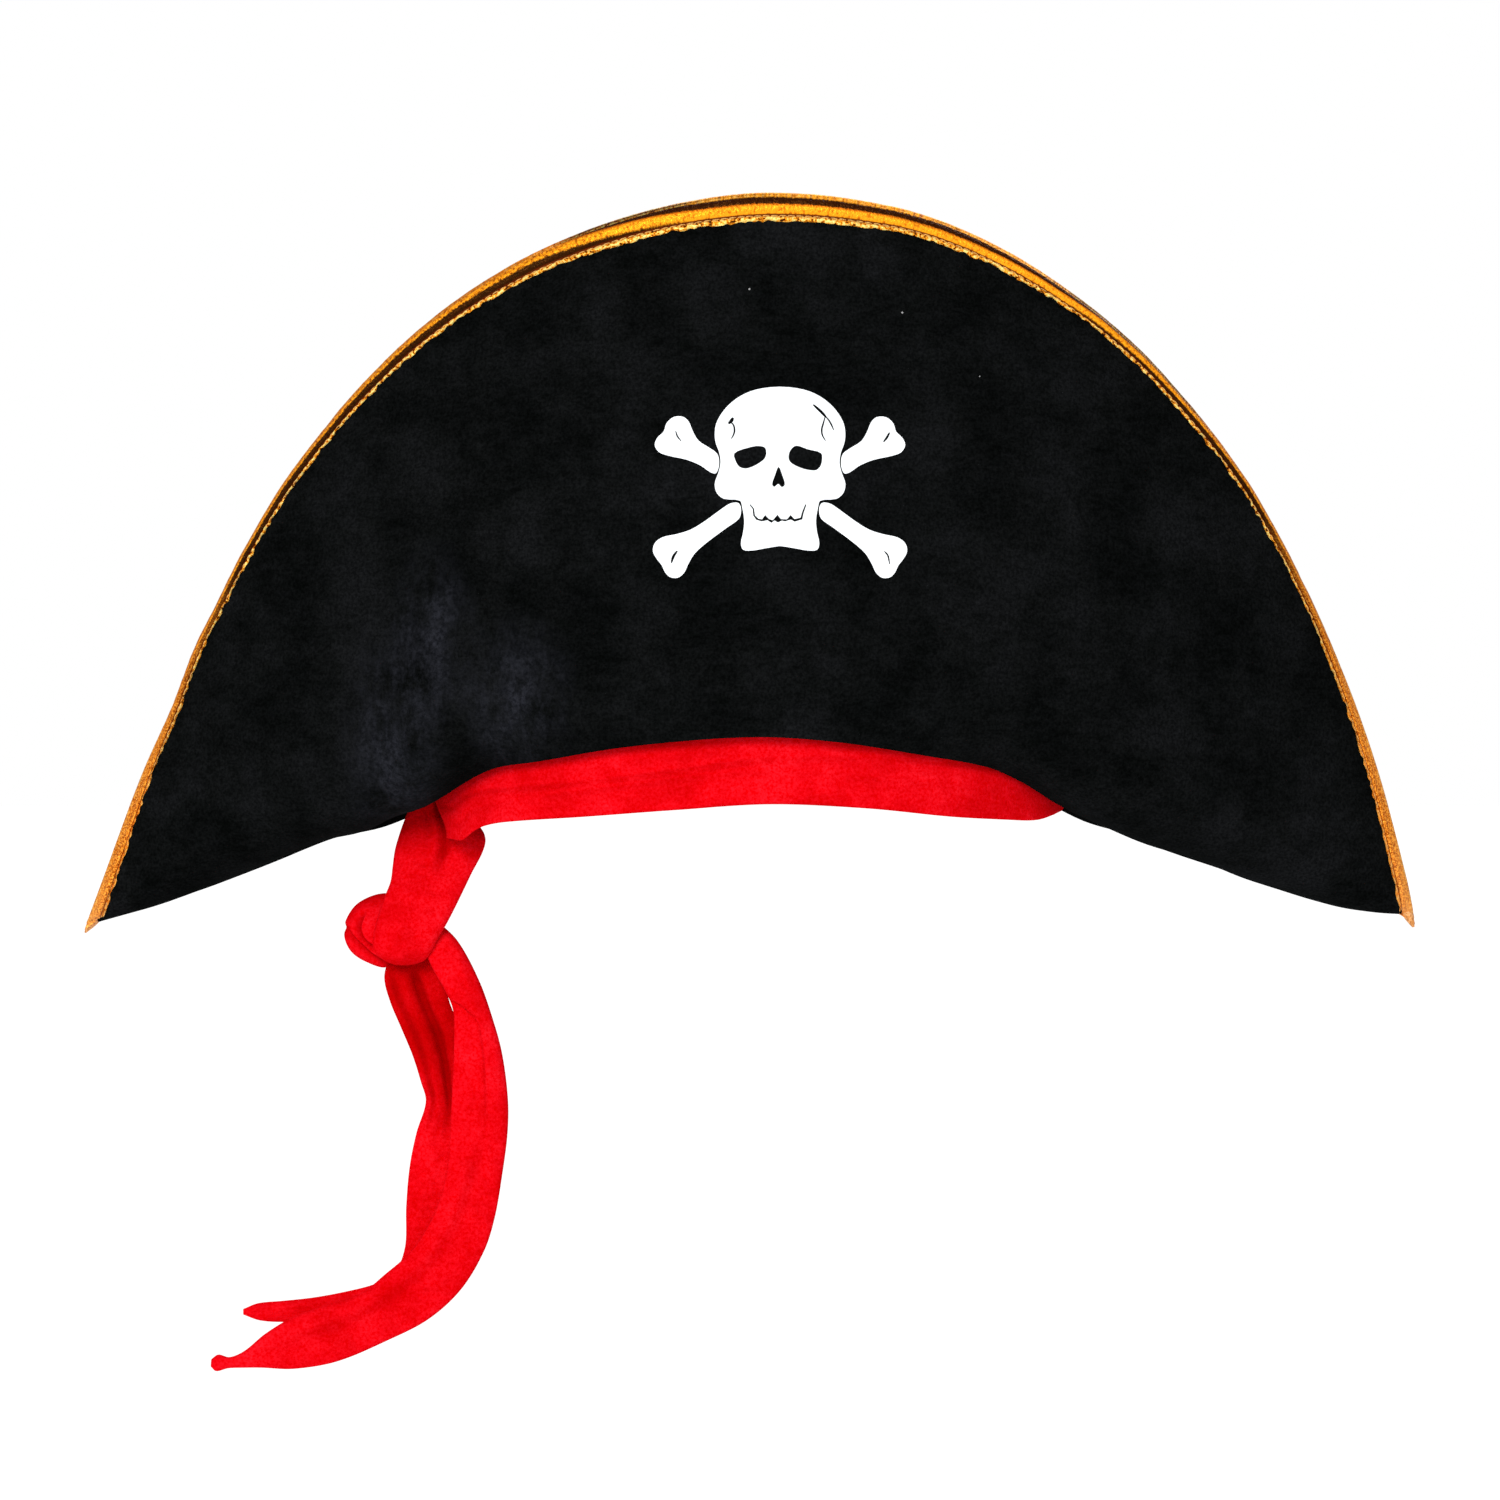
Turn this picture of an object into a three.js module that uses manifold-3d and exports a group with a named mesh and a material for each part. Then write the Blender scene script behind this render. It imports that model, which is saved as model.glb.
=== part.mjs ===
// A costume pirate hat: a bicorne whose brim is two tall wings, front and back, joined along the
// bottom and at the tips. A soft crown stands inside them, a red velvet headband shows below them,
// a knotted sash hangs from the headband at the wearer's right, and an emblem is printed in front.
//
// Millimetres. +Z is up and the hat faces -Y. The origin is the middle of the head opening, level
// with the lower edge of the headband at the sides of the head.
import * as THREE from "three";
import Module from "manifold-3d";

// ---- Driving dimensions ----

// Head opening, as the inner semi-axes of an oval, and how far the band arches up front and back.
const HEAD_A = 105;
const HEAD_B = 70;
const BAND_ARCH = 7;

// The stack round the head, from the skin out: thickness of each layer, with a gap between.
const LAYER_GAP = 0.35;
const SWEATBAND_T = 0.8;
const LINING_T = 0.5;
const CROWN_T = 1.2;
const HEADBAND_T = 2.5;

const HEADBAND_TOP = 40;
const SWEATBAND_H = 28;

// Crown: straight wall up to the shoulder, then a rounded top.
const SHOULDER_Z = 60;
const CROWN_TOP_Z = 118;
const CROWN_ROUNDNESS = 2.5;
const CROWN_SEAM = 0.62; // where the wall meets the top, from 0 at the shoulder to 1 at the apex

// Wings. Their outer face is the surface that everything on the brim is measured from.
const WING_X = 227; // where the two wings come together
const WING_END_X = 230; // where their fabric stops
const WING_FRONT_Y = 82.2; // half the depth over both wings, at the middle
const WING_TIP_Y = 6.5;
const WING_TOP_Y = 50; // the same at the top edge, because the wings lean in
const WING_SWEEP = 1.1; // how full the plan curve is
const FOLD_R = 30; // the soft roll along the bottom
const HOLE_A = 117; // the hole in the brim for the head
const HOLE_B = 81.8;
const WING_GAP = 0.2; // from each wing to the plane where they meet
const TIP_SKIVE = 0.42; // the layers thin to this share at the tips
const SKIVE_FROM_X = 180;

// Layers of a wing, as depths below its outer face.
const COVER = [0, 1.2];
const FOAM = [1.5, 3.7];
const WING_LINING = [4.6, 5.4];

// The outer edge of the gold trim on the front wing, [x, z].
const OUTLINE = [
  [-235, -40.5], [-215, 12.7], [-203, 40], [-193, 64.5], [-160, 122], [-118, 167.8], [-66, 200],
  [-5, 216],
  [50, 211.7], [90, 196.5], [132, 167], [164, 132], [186, 99.5], [207, 55.5], [222, 14],
  [231.5, -21.5], [235, -38.5],
];
// The bottom edge of both wings, [x, z].
const BOTTOM = [
  [-231, -37.8], [-210, -31.9], [-182, -22], [-149, -8.6], [-133, -4.6], [-121, 0.6], [-108, 6.8],
  [-90, 15.8],
  [-74, 18.6], [-39, 24.2], [0, 27.3], [29, 25.7], [58, 21.4], [82, 17], [93, 12.2], [109, 3.2],
  [141, -9.8],
  [182, -24.5], [206, -32], [221, -34.4], [231, -34.9],
];
// The back wing stands this much taller, at the middle and at the tips.
const BACK_RISE = [8, 2];

// Trim: a strip folded over the top edge of each wing.
const TRIM_T = 0.7;
const TRIM_GAP = 0.45;
const TRIM_CROWN = 0.8; // how far the fold stands proud of a square one
// Width of its front face, [distance from the middle of the hat, width].
const TRIM_FACE = [[0, 9.2], [80, 6.5], [130, 4.1], [190, 2.2], [215, 2.2], [231, 3.2]];
const TRIM_INSIDE = 8; // the most it covers of the inner face
const TRIM_SLACK = 0.9; // it stands this far off the inner face
const THREAD_GAP = 0.5;
const THREAD_R = 0.25;
const THREAD_AT = 0.72; // share of the face's width, from the edge

// Print: a film on the front wing, [x, z] of its centre.
const PRINT_AT = [10.3, 114.7];
const PRINT_T = 0.4;
const PRINT_GAP = 0.8;

// Sash. Each list is [x, y, z, width] down the middle of the strip.
const SASH_T = 5;
const SASH_TAB = { x: [-114.6, -111.6], y: [-13, 7], z: [-3, 30] };
const DROP = [
  [-111, -11, -5, 15], [-109.5, -12, -10, 24.5], [-112, -15, -20, 25], [-116, -19, -33, 23],
  [-119.5, -19.5, -43, 19],
  [-121.5, -17, -49, 10],
];
const FRONT_TAIL = [
  [-110.5, -14, -52, 10], [-103, -14.5, -56, 14], [-97.5, -15, -69, 16], [-94.5, -15, -94, 20],
  [-96.5, -15, -119, 21.5], [-101, -15, -136, 22.5], [-111.5, -15, -157, 23], [-126, -15, -169.5, 21],
  [-147, -15, -178.5, 22], [-161, -15, -183.5, 17], [-174, -15, -188, 6], [-185.5, -15, -188.6, 4],
];
const REAR_TAIL = [
  [-122, -5, -57, 10], [-117.5, -6, -67, 20], [-112.5, -7, -84, 19], [-109.5, -7, -99, 14],
  [-110, -7, -115.5, 16], [-112, -7, -132.5, 19], [-117, -7, -150.5, 20], [-129, -7, -164.5, 17],
  [-146, -7, -170.5, 14], [-161.5, -7, -171.5, 9], [-177, -7, -172, 3],
];
const KNOT_AT = [-127, -7, -39.5];
const KNOT_SIZE = [31, 15, 25];

// How finely curved things are cut.
const HOLE_STEPS = 14;
const TIP_STEPS = 6;
const ROLL_ROWS = 3;
const WALL_ROWS = 4;
const RING_STEPS = 28;

// ---- Materials ----

const fabric = (color) => new THREE.MeshStandardMaterial({ color, roughness: 0.95, metalness: 0 });
const blackVelvet = fabric(0x08080b);
const blackLining = fabric(0x141416);
const blackFoam = fabric(0x1c1c1c);
const redVelvet = fabric(0xd8040c);
const goldThread = fabric(0xd89a2a);
const goldLame = new THREE.MeshStandardMaterial({ color: 0xd98a10, roughness: 0.3, metalness: 0.9 });
const whiteFilm = new THREE.MeshStandardMaterial({ color: 0xf6f8f8, roughness: 0.6, metalness: 0 });

// ---- Small tools ----

const wasm = await Module();
wasm.setup();

const smooth = (t) => t * t * (3 - 2 * t);
const clamp = (v, low, high) => Math.min(high, Math.max(low, v));
const range = (n) => [...Array(n).keys()];

// A smooth function through [x, value] points in rising x.
function curveThrough(points) {
  const slope = (i) => {
    const a = points[Math.max(i - 1, 0)];
    const b = points[Math.min(i + 1, points.length - 1)];
    return (b[1] - a[1]) / (b[0] - a[0]);
  };
  return (x) => {
    const next = points.findIndex((p) => p[0] > x);
    const i = next < 0 ? points.length - 2 : Math.max(next - 1, 0);
    const [x0, y0] = points[i];
    const [x1, y1] = points[i + 1];
    const span = x1 - x0;
    const t = clamp((x - x0) / span, 0, 1);
    const rise = smooth(t);
    return y0 + (y1 - y0) * rise + span * t * (1 - t) * ((1 - t) * slope(i) - t * slope(i + 1));
  };
}

// The same on both sides of x = 0.
function evenCurve(points) {
  const left = points.filter((p) => p[0] > 0).map(([x, v]) => [-x, v]).reverse();
  return curveThrough([...left, ...points]);
}

// A closed geometry from points and faces: shared vertices are merged, faces that collapse are
// dropped, and the whole is turned to face out.
function solid(faces) {
  const seen = new Map();
  const position = [];
  const index = [];
  const at = (p) => {
    const key = p.toArray().map((v) => Math.round(v * 1e4)).join();
    if (!seen.has(key)) {
      seen.set(key, seen.size);
      position.push(...p.toArray());
    }
    return seen.get(key);
  };
  for (const face of faces) {
    const [a, b, c] = face.map(at);
    if (a !== b && b !== c && c !== a) index.push(a, b, c);
  }
  const geometry = new THREE.BufferGeometry();
  geometry.setAttribute("position", new THREE.Float32BufferAttribute(position, 3));
  geometry.setIndex(index);
  if (volume(position, index) < 0) {
    geometry.setIndex(index.map((_, i) => index[i % 3 === 0 ? i : i % 3 === 1 ? i + 1 : i - 1]));
  }
  geometry.computeVertexNormals();
  return geometry;
}

function volume(position, index) {
  const p = (i) => new THREE.Vector3().fromArray(position, index[i] * 3);
  const sixfold = (t) => p(3 * t).dot(p(3 * t + 1).cross(p(3 * t + 2)));
  return range(index.length / 3).reduce((sum, t) => sum + sixfold(t), 0);
}

// The two triangles of a quad.
const quad = (a, b, c, d) => [[a, b, c], [a, c, d]];

// A closed shell between two grids of points, grid[row][column]. A ring's last column joins its first.
function shell(outer, inner, ring = false) {
  const rows = outer.length;
  const columns = outer[0].length;
  const faces = [];
  for (const i of range(rows - 1)) {
    for (const j of range(ring ? columns : columns - 1)) {
      const k = (j + 1) % columns;
      faces.push(...quad(outer[i][j], outer[i][k], outer[i + 1][k], outer[i + 1][j]));
      faces.push(...quad(inner[i][j], inner[i + 1][j], inner[i + 1][k], inner[i][k]));
    }
  }
  for (const j of range(ring ? columns : columns - 1)) {
    const k = (j + 1) % columns;
    const last = rows - 1;
    faces.push(...quad(outer[0][j], inner[0][j], inner[0][k], outer[0][k]));
    faces.push(...quad(outer[last][j], outer[last][k], inner[last][k], inner[last][j]));
  }
  for (const i of ring ? [] : range(rows - 1)) {
    const last = columns - 1;
    faces.push(...quad(outer[i][0], outer[i + 1][0], inner[i + 1][0], inner[i][0]));
    faces.push(...quad(outer[i][last], inner[i][last], inner[i + 1][last], outer[i + 1][last]));
  }
  return solid(faces);
}

// A closed tube through sections that each have the same number of points.
function loft(sections) {
  const n = sections[0].length;
  const faces = [];
  for (const i of range(sections.length - 1)) {
    for (const j of range(n)) {
      const k = (j + 1) % n;
      faces.push(...quad(sections[i][j], sections[i][k], sections[i + 1][k], sections[i + 1][j]));
    }
  }
  for (const [section, flip] of [[sections[0], true], [sections.at(-1), false]]) {
    for (const j of range(n - 2)) {
      const face = [section[0], section[j + 1], section[j + 2]];
      faces.push(flip ? face.reverse() : face);
    }
  }
  return solid(faces);
}

// The smallest cap fan goes wrong on a U, so its section is closed as a strip of quads instead.
function loftStrip(sections) {
  const half = sections[0].length / 2;
  const rows = (side) => sections.map((s) => (side ? s.slice(0, half) : s.slice(half).reverse()));
  return shell(rows(true), rows(false));
}

const group = new THREE.Group();
group.name = "pirate_hat";

function add(name, geometry, material) {
  const mesh = new THREE.Mesh(geometry, material);
  mesh.name = name;
  group.add(mesh);
  return mesh;
}

// ---- Wings ----

const bottomEdge = curveThrough(BOTTOM);
const outline = curveThrough(OUTLINE);
const trimFace = evenCurve(TRIM_FACE);
const slopeOf = (f, x) => f(x + 0.5) - f(x - 0.5);
const TRIM_RISE = TRIM_GAP + TRIM_T + TRIM_CROWN;

// How far a wing has leaned in, from 0 at the foot of its wall to 1 at the top. It is straight from
// one row of points to the next, so that what lies on the wall follows it exactly.
function leanShare(up) {
  const row = clamp(Math.floor(up * WALL_ROWS), 0, WALL_ROWS - 1);
  const at = (i) => (i / WALL_ROWS) ** 2;
  return at(row) + (at(row + 1) - at(row)) * (up * WALL_ROWS - row);
}

// A wing: side is -1 for the front and 1 for the back, and rise lifts its top edge.
function makeWing(side, rise) {
  const plan = (x, depth) => {
    const full = Math.max(0, 1 - (x / WING_X) ** 2) ** WING_SWEEP;
    return WING_TIP_Y + (depth - WING_TIP_Y) * full;
  };
  const trimEdge = (x) => {
    const middle = Math.max(0, 1 - (x / WING_X) ** 2);
    return outline(x) + rise[1] + (rise[0] - rise[1]) * middle;
  };
  const topEdge = (x) => trimEdge(x) - TRIM_RISE * Math.hypot(1, slopeOf(trimEdge, x));
  const hole = (x) => HOLE_B * Math.sqrt(Math.max(0, 1 - (x / HOLE_A) ** 2)) + WING_GAP;

  // The section across the wing at x: a flat run in from the hole, a roll, then the upright face.
  function section(x) {
    const low = bottomEdge(x);
    const top = topEdge(x);
    const out = plan(x, WING_FRONT_Y);
    const r = Math.min(FOLD_R, out, 0.5 * (top - low));
    const reach = out - hole(x);
    const turn = reach < r ? Math.acos(1 - reach / r) : Math.PI / 2;
    const run = Math.max(0, reach - r);
    const lean = plan(x, WING_TOP_Y) - out;
    return { low, top, out, r, turn, run, start: low + r * Math.sin(turn), lean };
  }

  // The point at x that is q below the top of the roll, along the surface, or -q above it.
  function point(x, q) {
    const s = section(x);
    const rolled = s.r * s.turn;
    if (q <= 0) {
      return new THREE.Vector3(x, side * (s.out + s.lean * leanShare(-q / (s.top - s.start))), s.start - q);
    }
    if (q <= rolled || s.turn < Math.PI / 2) {
      const a = q / s.r;
      return new THREE.Vector3(x, side * (s.out - s.r + s.r * Math.cos(a)), s.start - s.r * Math.sin(a));
    }
    return new THREE.Vector3(x, side * (s.out - s.r - (q - rolled)), s.low);
  }

  // The outward normal, from neighbours at the same depth below the roll.
  function normal(x, q) {
    const h = 0.4;
    const along = point(x + h, q).sub(point(x - h, q));
    const down = point(x, q + h).sub(point(x, q - h));
    return along.cross(down).multiplyScalar(side).normalize();
  }

  const skive = (x) => {
    const t = clamp((Math.abs(x) - SKIVE_FROM_X) / (WING_X - SKIVE_FROM_X), 0, 1);
    return 1 - (1 - TIP_SKIVE) * smooth(t);
  };

  // A point at a depth below the outer face; a negative depth is outside it.
  const at = (x, q, depth) => point(x, q).addScaledVector(normal(x, q), -depth);

  // The same for a place given by its height.
  function q(x, z) {
    const s = section(x);
    return z >= s.start ? s.start - z : s.r * Math.asin(clamp((s.start - z) / s.r, 0, 0.98));
  }

  return { side, section, at, q, skive, topEdge };
}

// Columns across a wing: close together where the hole turns and at the tips.
const wingColumns = (() => {
  const middle = range(HOLE_STEPS + 1).map((i) => HOLE_A * Math.sin((i / HOLE_STEPS - 0.5) * Math.PI));
  const tip = range(TIP_STEPS).map((i) => {
    const t = Math.sin(((i + 1) / TIP_STEPS) * (Math.PI / 2));
    return HOLE_A + (WING_END_X - HOLE_A) * t;
  });
  return [...tip.map((x) => -x).reverse(), ...middle, ...tip];
})();

// One layer of a wing, between two depths below its outer face.
function wingLayer(wing, [from, to]) {
  const grid = (depth) => {
    const rows = [];
    for (const i of range(ROLL_ROWS + WALL_ROWS + 1)) {
      rows.push(wingColumns.map((x) => {
        const s = wing.section(x);
        const below = s.run + s.r * s.turn;
        const q = i < ROLL_ROWS
          ? below * (1 - i / ROLL_ROWS)
          : -(s.top - s.start) * ((i - ROLL_ROWS) / WALL_ROWS);
        return wing.at(x, q, depth * wing.skive(x));
      }));
    }
    return rows;
  };
  return shell(grid(from), grid(to));
}

// A point on the brim in the plane of one column: a height below its top edge, or above it if that
// is negative, and a depth below the outer face. Both are measured square to the edge.
function fromEdge(wing, x, inward, depth) {
  const { start, top } = wing.section(x);
  const down = Math.min(inward * Math.hypot(1, slopeOf(wing.topEdge, x)), 0.5 * (top - start));
  const p = wing.at(x, wing.q(x, top - Math.max(down, 0)), depth);
  p.z -= Math.min(down, 0);
  return p;
}

// The gold strip folded over a wing's top edge.
function trim(wing) {
  const sections = wingColumns.map((x) => {
    const near = WING_LINING[1] * wing.skive(x) + TRIM_SLACK;
    const far = near + TRIM_T;
    const face = trimFace(x);
    const inside = Math.min(face, TRIM_INSIDE);
    const out = TRIM_GAP + TRIM_T;
    const point = (inward, depth) => fromEdge(wing, x, inward, depth);
    return [
      point(face, -out), point(face / 2, -out), point(0, -out), point(-out, -TRIM_GAP),
      point(-TRIM_RISE, near / 2), point(-out, near), point(0, far), point(inside, far),
      point(inside, near), point(0, near), point(-TRIM_GAP, near - TRIM_GAP), point(-TRIM_GAP, near / 2),
      point(-TRIM_GAP, 0), point(0, -TRIM_GAP), point(face / 2, -TRIM_GAP), point(face, -TRIM_GAP),
    ];
  });
  return loftStrip(sections);
}

// The thread that holds the trim down: one length, lying along its face.
function trimThread(wing) {
  const depth = -(TRIM_GAP + TRIM_T + THREAD_GAP + THREAD_R);
  const places = wingColumns.slice(1, -1).map((x) => fromEdge(wing, x, trimFace(x) * THREAD_AT, depth));
  const steps = wingColumns.length * 2;
  const sides = 6;
  const circle = new THREE.Shape().absarc(0, 0, THREAD_R, 0, 2 * Math.PI);
  const section = new THREE.Shape(circle.getSpacedPoints(sides).slice(0, sides));
  const extrudePath = new THREE.CatmullRomCurve3(places);
  return clean(new THREE.ExtrudeGeometry(section, { steps, extrudePath }));
}

// Where the strip is folded to a point past a tip of the hat.
const EAR = [[231.9, -27.5], [233, -28], [235, -40], [231.9, -37]];

function trimTip(side) {
  const ear = new THREE.Shape(EAR.map(([x, z]) => new THREE.Vector2(side * x, z)));
  const depth = 4;
  const geometry = new THREE.ExtrudeGeometry(ear, { depth, bevelEnabled: false });
  return clean(geometry.rotateX(Math.PI / 2).translate(0, depth / 2, 0));
}

// A three.js geometry as a merged, closed one.
function clean(geometry) {
  const g = geometry.index ? geometry.toNonIndexed() : geometry;
  const p = g.getAttribute("position");
  const v = (i) => new THREE.Vector3().fromBufferAttribute(p, i);
  return solid(range(p.count / 3).map((t) => [v(3 * t), v(3 * t + 1), v(3 * t + 2)]));
}

// ---- Crown and bands ----

// The oval at a distance out from the head opening. a is the angle round from +X.
const oval = (a, out, scale = 1) => [
  (HEAD_A + out) * scale * Math.cos(a),
  (HEAD_B + out) * scale * Math.sin(a),
];
const bandLow = (a) => BAND_ARCH * Math.sin(a) ** 2;

// A point on the crown: up is 0 at the shoulder and 1 at the apex.
function crownPoint(a, up, out) {
  const turn = (up * Math.PI) / 2;
  const power = 2 / CROWN_ROUNDNESS;
  const scale = Math.cos(turn) ** power;
  const [x, y] = oval(a, out, up >= 1 ? 0 : scale);
  return new THREE.Vector3(x, y, SHOULDER_Z + (CROWN_TOP_Z - SHOULDER_Z + out) * Math.sin(turn) ** power);
}

function anglesBetween(from, to, steps) {
  return range(steps + 1).map((i) => from + ((to - from) * i) / steps);
}

// Part of a cap's wall, from a height above the band's lower edge up to the seam.
function capWall(out, thickness, above, angles, ring) {
  const grid = (o) => [
    ...[0, 1].map((i) => angles.map((a) => {
      const low = bandLow(a) + above;
      const [x, y] = oval(a, o);
      return new THREE.Vector3(x, y, low + (SHOULDER_Z - low) * (i * 0.999));
    })),
    ...[0.3, CROWN_SEAM].map((up) => angles.map((a) => crownPoint(a, up, o))),
  ];
  return shell(grid(out + thickness), grid(out), ring);
}

function capTop(out, thickness) {
  const angles = anglesBetween(0, 2 * Math.PI, RING_STEPS).slice(0, -1);
  const from = CROWN_SEAM + 0.012;
  const ups = [from, from + (1 - from) * 0.35, from + (1 - from) * 0.7, 1];
  const grid = (o) => ups.map((up) => angles.map((a) => crownPoint(a, up, o)));
  return shell(grid(out + thickness), grid(out), true);
}

// A band round the head between two heights above its lower edge.
function band(out, thickness, low, high, angles, ring) {
  const grid = (o) => [low, high].map((height) => angles.map((a) => {
    const [x, y] = oval(a, o);
    return new THREE.Vector3(x, y, height(a));
  }));
  return shell(grid(out + thickness), grid(out), ring);
}

// ---- Sash ----

const LENS = [[-1, 0], [-0.7, 0.8], [0, 1], [0.7, 0.8], [1, 0], [0.7, -0.8], [0, -1], [-0.7, -0.8]];

// A soft flat strip that faces the front, through [x, y, z, width] places.
function strip(places, steps) {
  const curve = new THREE.CatmullRomCurve3(places.map((p) => new THREE.Vector3(...p)));
  const widths = new THREE.SplineCurve(places.map((p, i) => new THREE.Vector2(i, p[3])));
  const sections = range(steps + 1).map((i) => {
    const t = i / steps;
    const middle = curve.getPoint(t);
    const along = curve.getTangent(t);
    const across = along.clone().cross(new THREE.Vector3(0, -1, 0)).normalize();
    const face = across.clone().cross(along);
    const half = widths.getPoint(t).y / 2;
    const thick = Math.min(SASH_T, 1.2 * half) / 2;
    const place = ([u, v]) => middle.clone().addScaledVector(across, u * half).addScaledVector(face, v * thick);
    return LENS.map(place);
  });
  return loft(sections);
}

function sashTab() {
  const { x, y, z } = SASH_TAB;
  const box = new THREE.BoxGeometry(x[1] - x[0], y[1] - y[0], z[1] - z[0]);
  return clean(box.translate((x[0] + x[1]) / 2, (y[0] + y[1]) / 2, (z[0] + z[1]) / 2));
}

function knot() {
  const ball = new THREE.SphereGeometry(0.5, 14, 10);
  return clean(ball.scale(...KNOT_SIZE).translate(...KNOT_AT));
}

// ---- Print ----

// A closed outline through [x, z] places: smooth everywhere but at the places marked as corners.
function outlineShape(places) {
  const corners = places.map(([x, z]) => new THREE.Vector3(x, z, 0));
  const curve = new THREE.CatmullRomCurve3(corners, true, "centripetal");
  return curve.getPoints(places.length * 3).slice(0, -1).map((p) => new THREE.Vector2(p.x, p.y));
}

const mirrored = (places) => {
  const otherSide = places.map(([x, z]) => [-x, z]).reverse();
  return [...places, ...otherSide.filter(([x]) => x !== 0)];
};

// Half of the skull, from the top of the head round the right side to the chin.
const SKULL = [
  [0, 33], [8.3, 32], [13.4, 29.9], [17.4, 26.9], [20.1, 23.7], [21.9, 20.2], [22.4, 16.5],
  [22, 13.4], [20.9, 10.4],
  [20.4, 6.8], [21.1, 3.4], [22.4, -0.6], [21.6, -3.8], [19.3, -5.7], [13.7, -6.4], [13, -8.6],
  [12.3, -13],
  [12.6, -17], [13.4, -21], [12.7, -23.2], [9.6, -23.5], [5.4, -22.8], [0.4, -22],
];
const EYES = [
  [
    [-15.7, 9.9], [-10.9, 11.9], [-7.2, 12.5], [-5.2, 11.9], [-4.7, 10.3], [-5.2, 8.3], [-7, 6.7],
    [-9.6, 5.3],
    [-11.8, 4.7], [-13.9, 5.3], [-15.2, 7.2],
  ],
  [
    [5.5, 12.6], [9.4, 11.4], [14.1, 10], [14.4, 7.9], [13.8, 5.5], [12.4, 4.2], [10.8, 4.1],
    [7.8, 4.7], [4.3, 6.3],
    [3.1, 7.6], [3, 9.6], [3.9, 11.5],
  ],
];
const NOSE = [
  [-0.5, 5.3], [0.8, 2.3], [1.6, -0.9], [0.6, -1.7], [-0.6, -0.6], [-2, -1.6], [-2.7, -0.9], [-1.7, 2.6],
];
// The gap of the mouth: the edge with the upper teeth, then the lower edge, from left to right.
const UPPER_LIP = [
  [-10.2, -7.6], [-8.9, -9.1], [-8.6, -11.4], [-7.4, -12.6], [-6.2, -12.8], [-5.1, -11.3],
  [-3.8, -12.7], [-2.5, -13.1],
  [-0.9, -11.2], [0.3, -12.7], [2.3, -12.8], [3.6, -11.3], [4.9, -12.7], [7, -12.2], [7.4, -10.6],
  [8.6, -7.6],
];
const LOWER_LIP = [
  [-10.5, -7.8], [-9.4, -9.2], [-9.2, -11.5], [-8.1, -13], [-6.3, -13.5], [-4.3, -13.1],
  [-3, -14], [-1.9, -13.2],
  [-0.7, -13.9], [0.6, -13.2], [1.6, -13.5], [3.7, -12.9], [5, -13.6], [7.6, -12.8], [8, -10.8],
  [9, -7.8],
];

function skullShape() {
  const shape = new THREE.Shape(outlineShape(mirrored(SKULL)).reverse()); // holes need it anticlockwise
  for (const hole of [...EYES, NOSE]) shape.holes.push(new THREE.Path(outlineShape(hole)));
  const mouth = [...UPPER_LIP, ...LOWER_LIP.toReversed()].map(([x, z]) => new THREE.Vector2(x, z));
  shape.holes.push(new THREE.Path(mouth));
  return shape;
}

// The bones on the right: the part of each that shows beside the skull.
const UPPER_BONE = [
  [21.6, 9.9], [24.4, 12], [27.9, 14.3], [29.9, 17.6], [31.3, 20.9], [33.2, 22.6], [36.4, 22.6],
  [38.9, 20.5],
  [39.9, 17.6], [42, 15.5], [43, 13], [41.6, 10.5], [38.3, 9.2], [32.1, 7.8], [27.3, 5.8],
  [23.8, 3.4], [22.1, 3],
  [21.1, 4.8], [20.9, 7.6],
];
const LOWER_BONE = [
  [14.4, -7.1], [17, -7.3], [19.9, -9.1], [25.5, -13.2], [30.6, -16.3], [35.3, -17.8],
  [40.5, -19], [43, -21.1],
  [43.5, -23.8], [42, -26.6], [40.5, -28.5], [39.3, -31], [37.6, -32.6], [35, -32.8],
  [32.9, -31.2], [31.4, -28.1],
  [29.2, -24.5], [25, -20.7], [18, -15.5], [14.1, -12.6], [13.4, -10.6], [13.5, -8.4],
];

const boneShape = (right, places) => new THREE.Shape(outlineShape(places.map(([x, z]) => [right * x, z])));

// A geometry as a manifold-3d solid, and back.
function toManifold(geometry) {
  return new wasm.Manifold(new wasm.Mesh({
    numProp: 3,
    vertProperties: geometry.getAttribute("position").array,
    triVerts: new Uint32Array(geometry.index.array),
  }));
}

function fromManifold(made) {
  const mesh = made.getMesh();
  const v = (i) => new THREE.Vector3().fromArray(mesh.vertProperties, mesh.triVerts[i] * mesh.numProp);
  return solid(range(mesh.triVerts.length / 3).map((t) => [v(3 * t), v(3 * t + 1), v(3 * t + 2)]));
}

// A thin film with a flat outline, laid on the face of a wing.
function film(wing, shape) {
  const reach = [48, 38];
  const columns = range(9).map((i) => PRINT_AT[0] + reach[0] * (i / 4 - 1));
  const rows = range(5).map((i) => PRINT_AT[1] + reach[1] * (i / 2 - 1));
  const grid = (depth) => rows.map((z) => columns.map((x) => wing.at(x, wing.q(x, z), depth)));
  const sheet = toManifold(shell(grid(-PRINT_GAP - PRINT_T), grid(-PRINT_GAP)));
  const depth = 2 * WING_FRONT_Y;
  const prism = new THREE.ExtrudeGeometry(shape, { depth, bevelEnabled: false });
  prism.rotateX(Math.PI / 2).translate(PRINT_AT[0], 0, PRINT_AT[1]);
  return fromManifold(toManifold(clean(prism)).intersect(sheet));
}

// ---- The hat ----

const frontWing = makeWing(-1, [0, 0]);
const backWing = makeWing(1, BACK_RISE);

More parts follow.
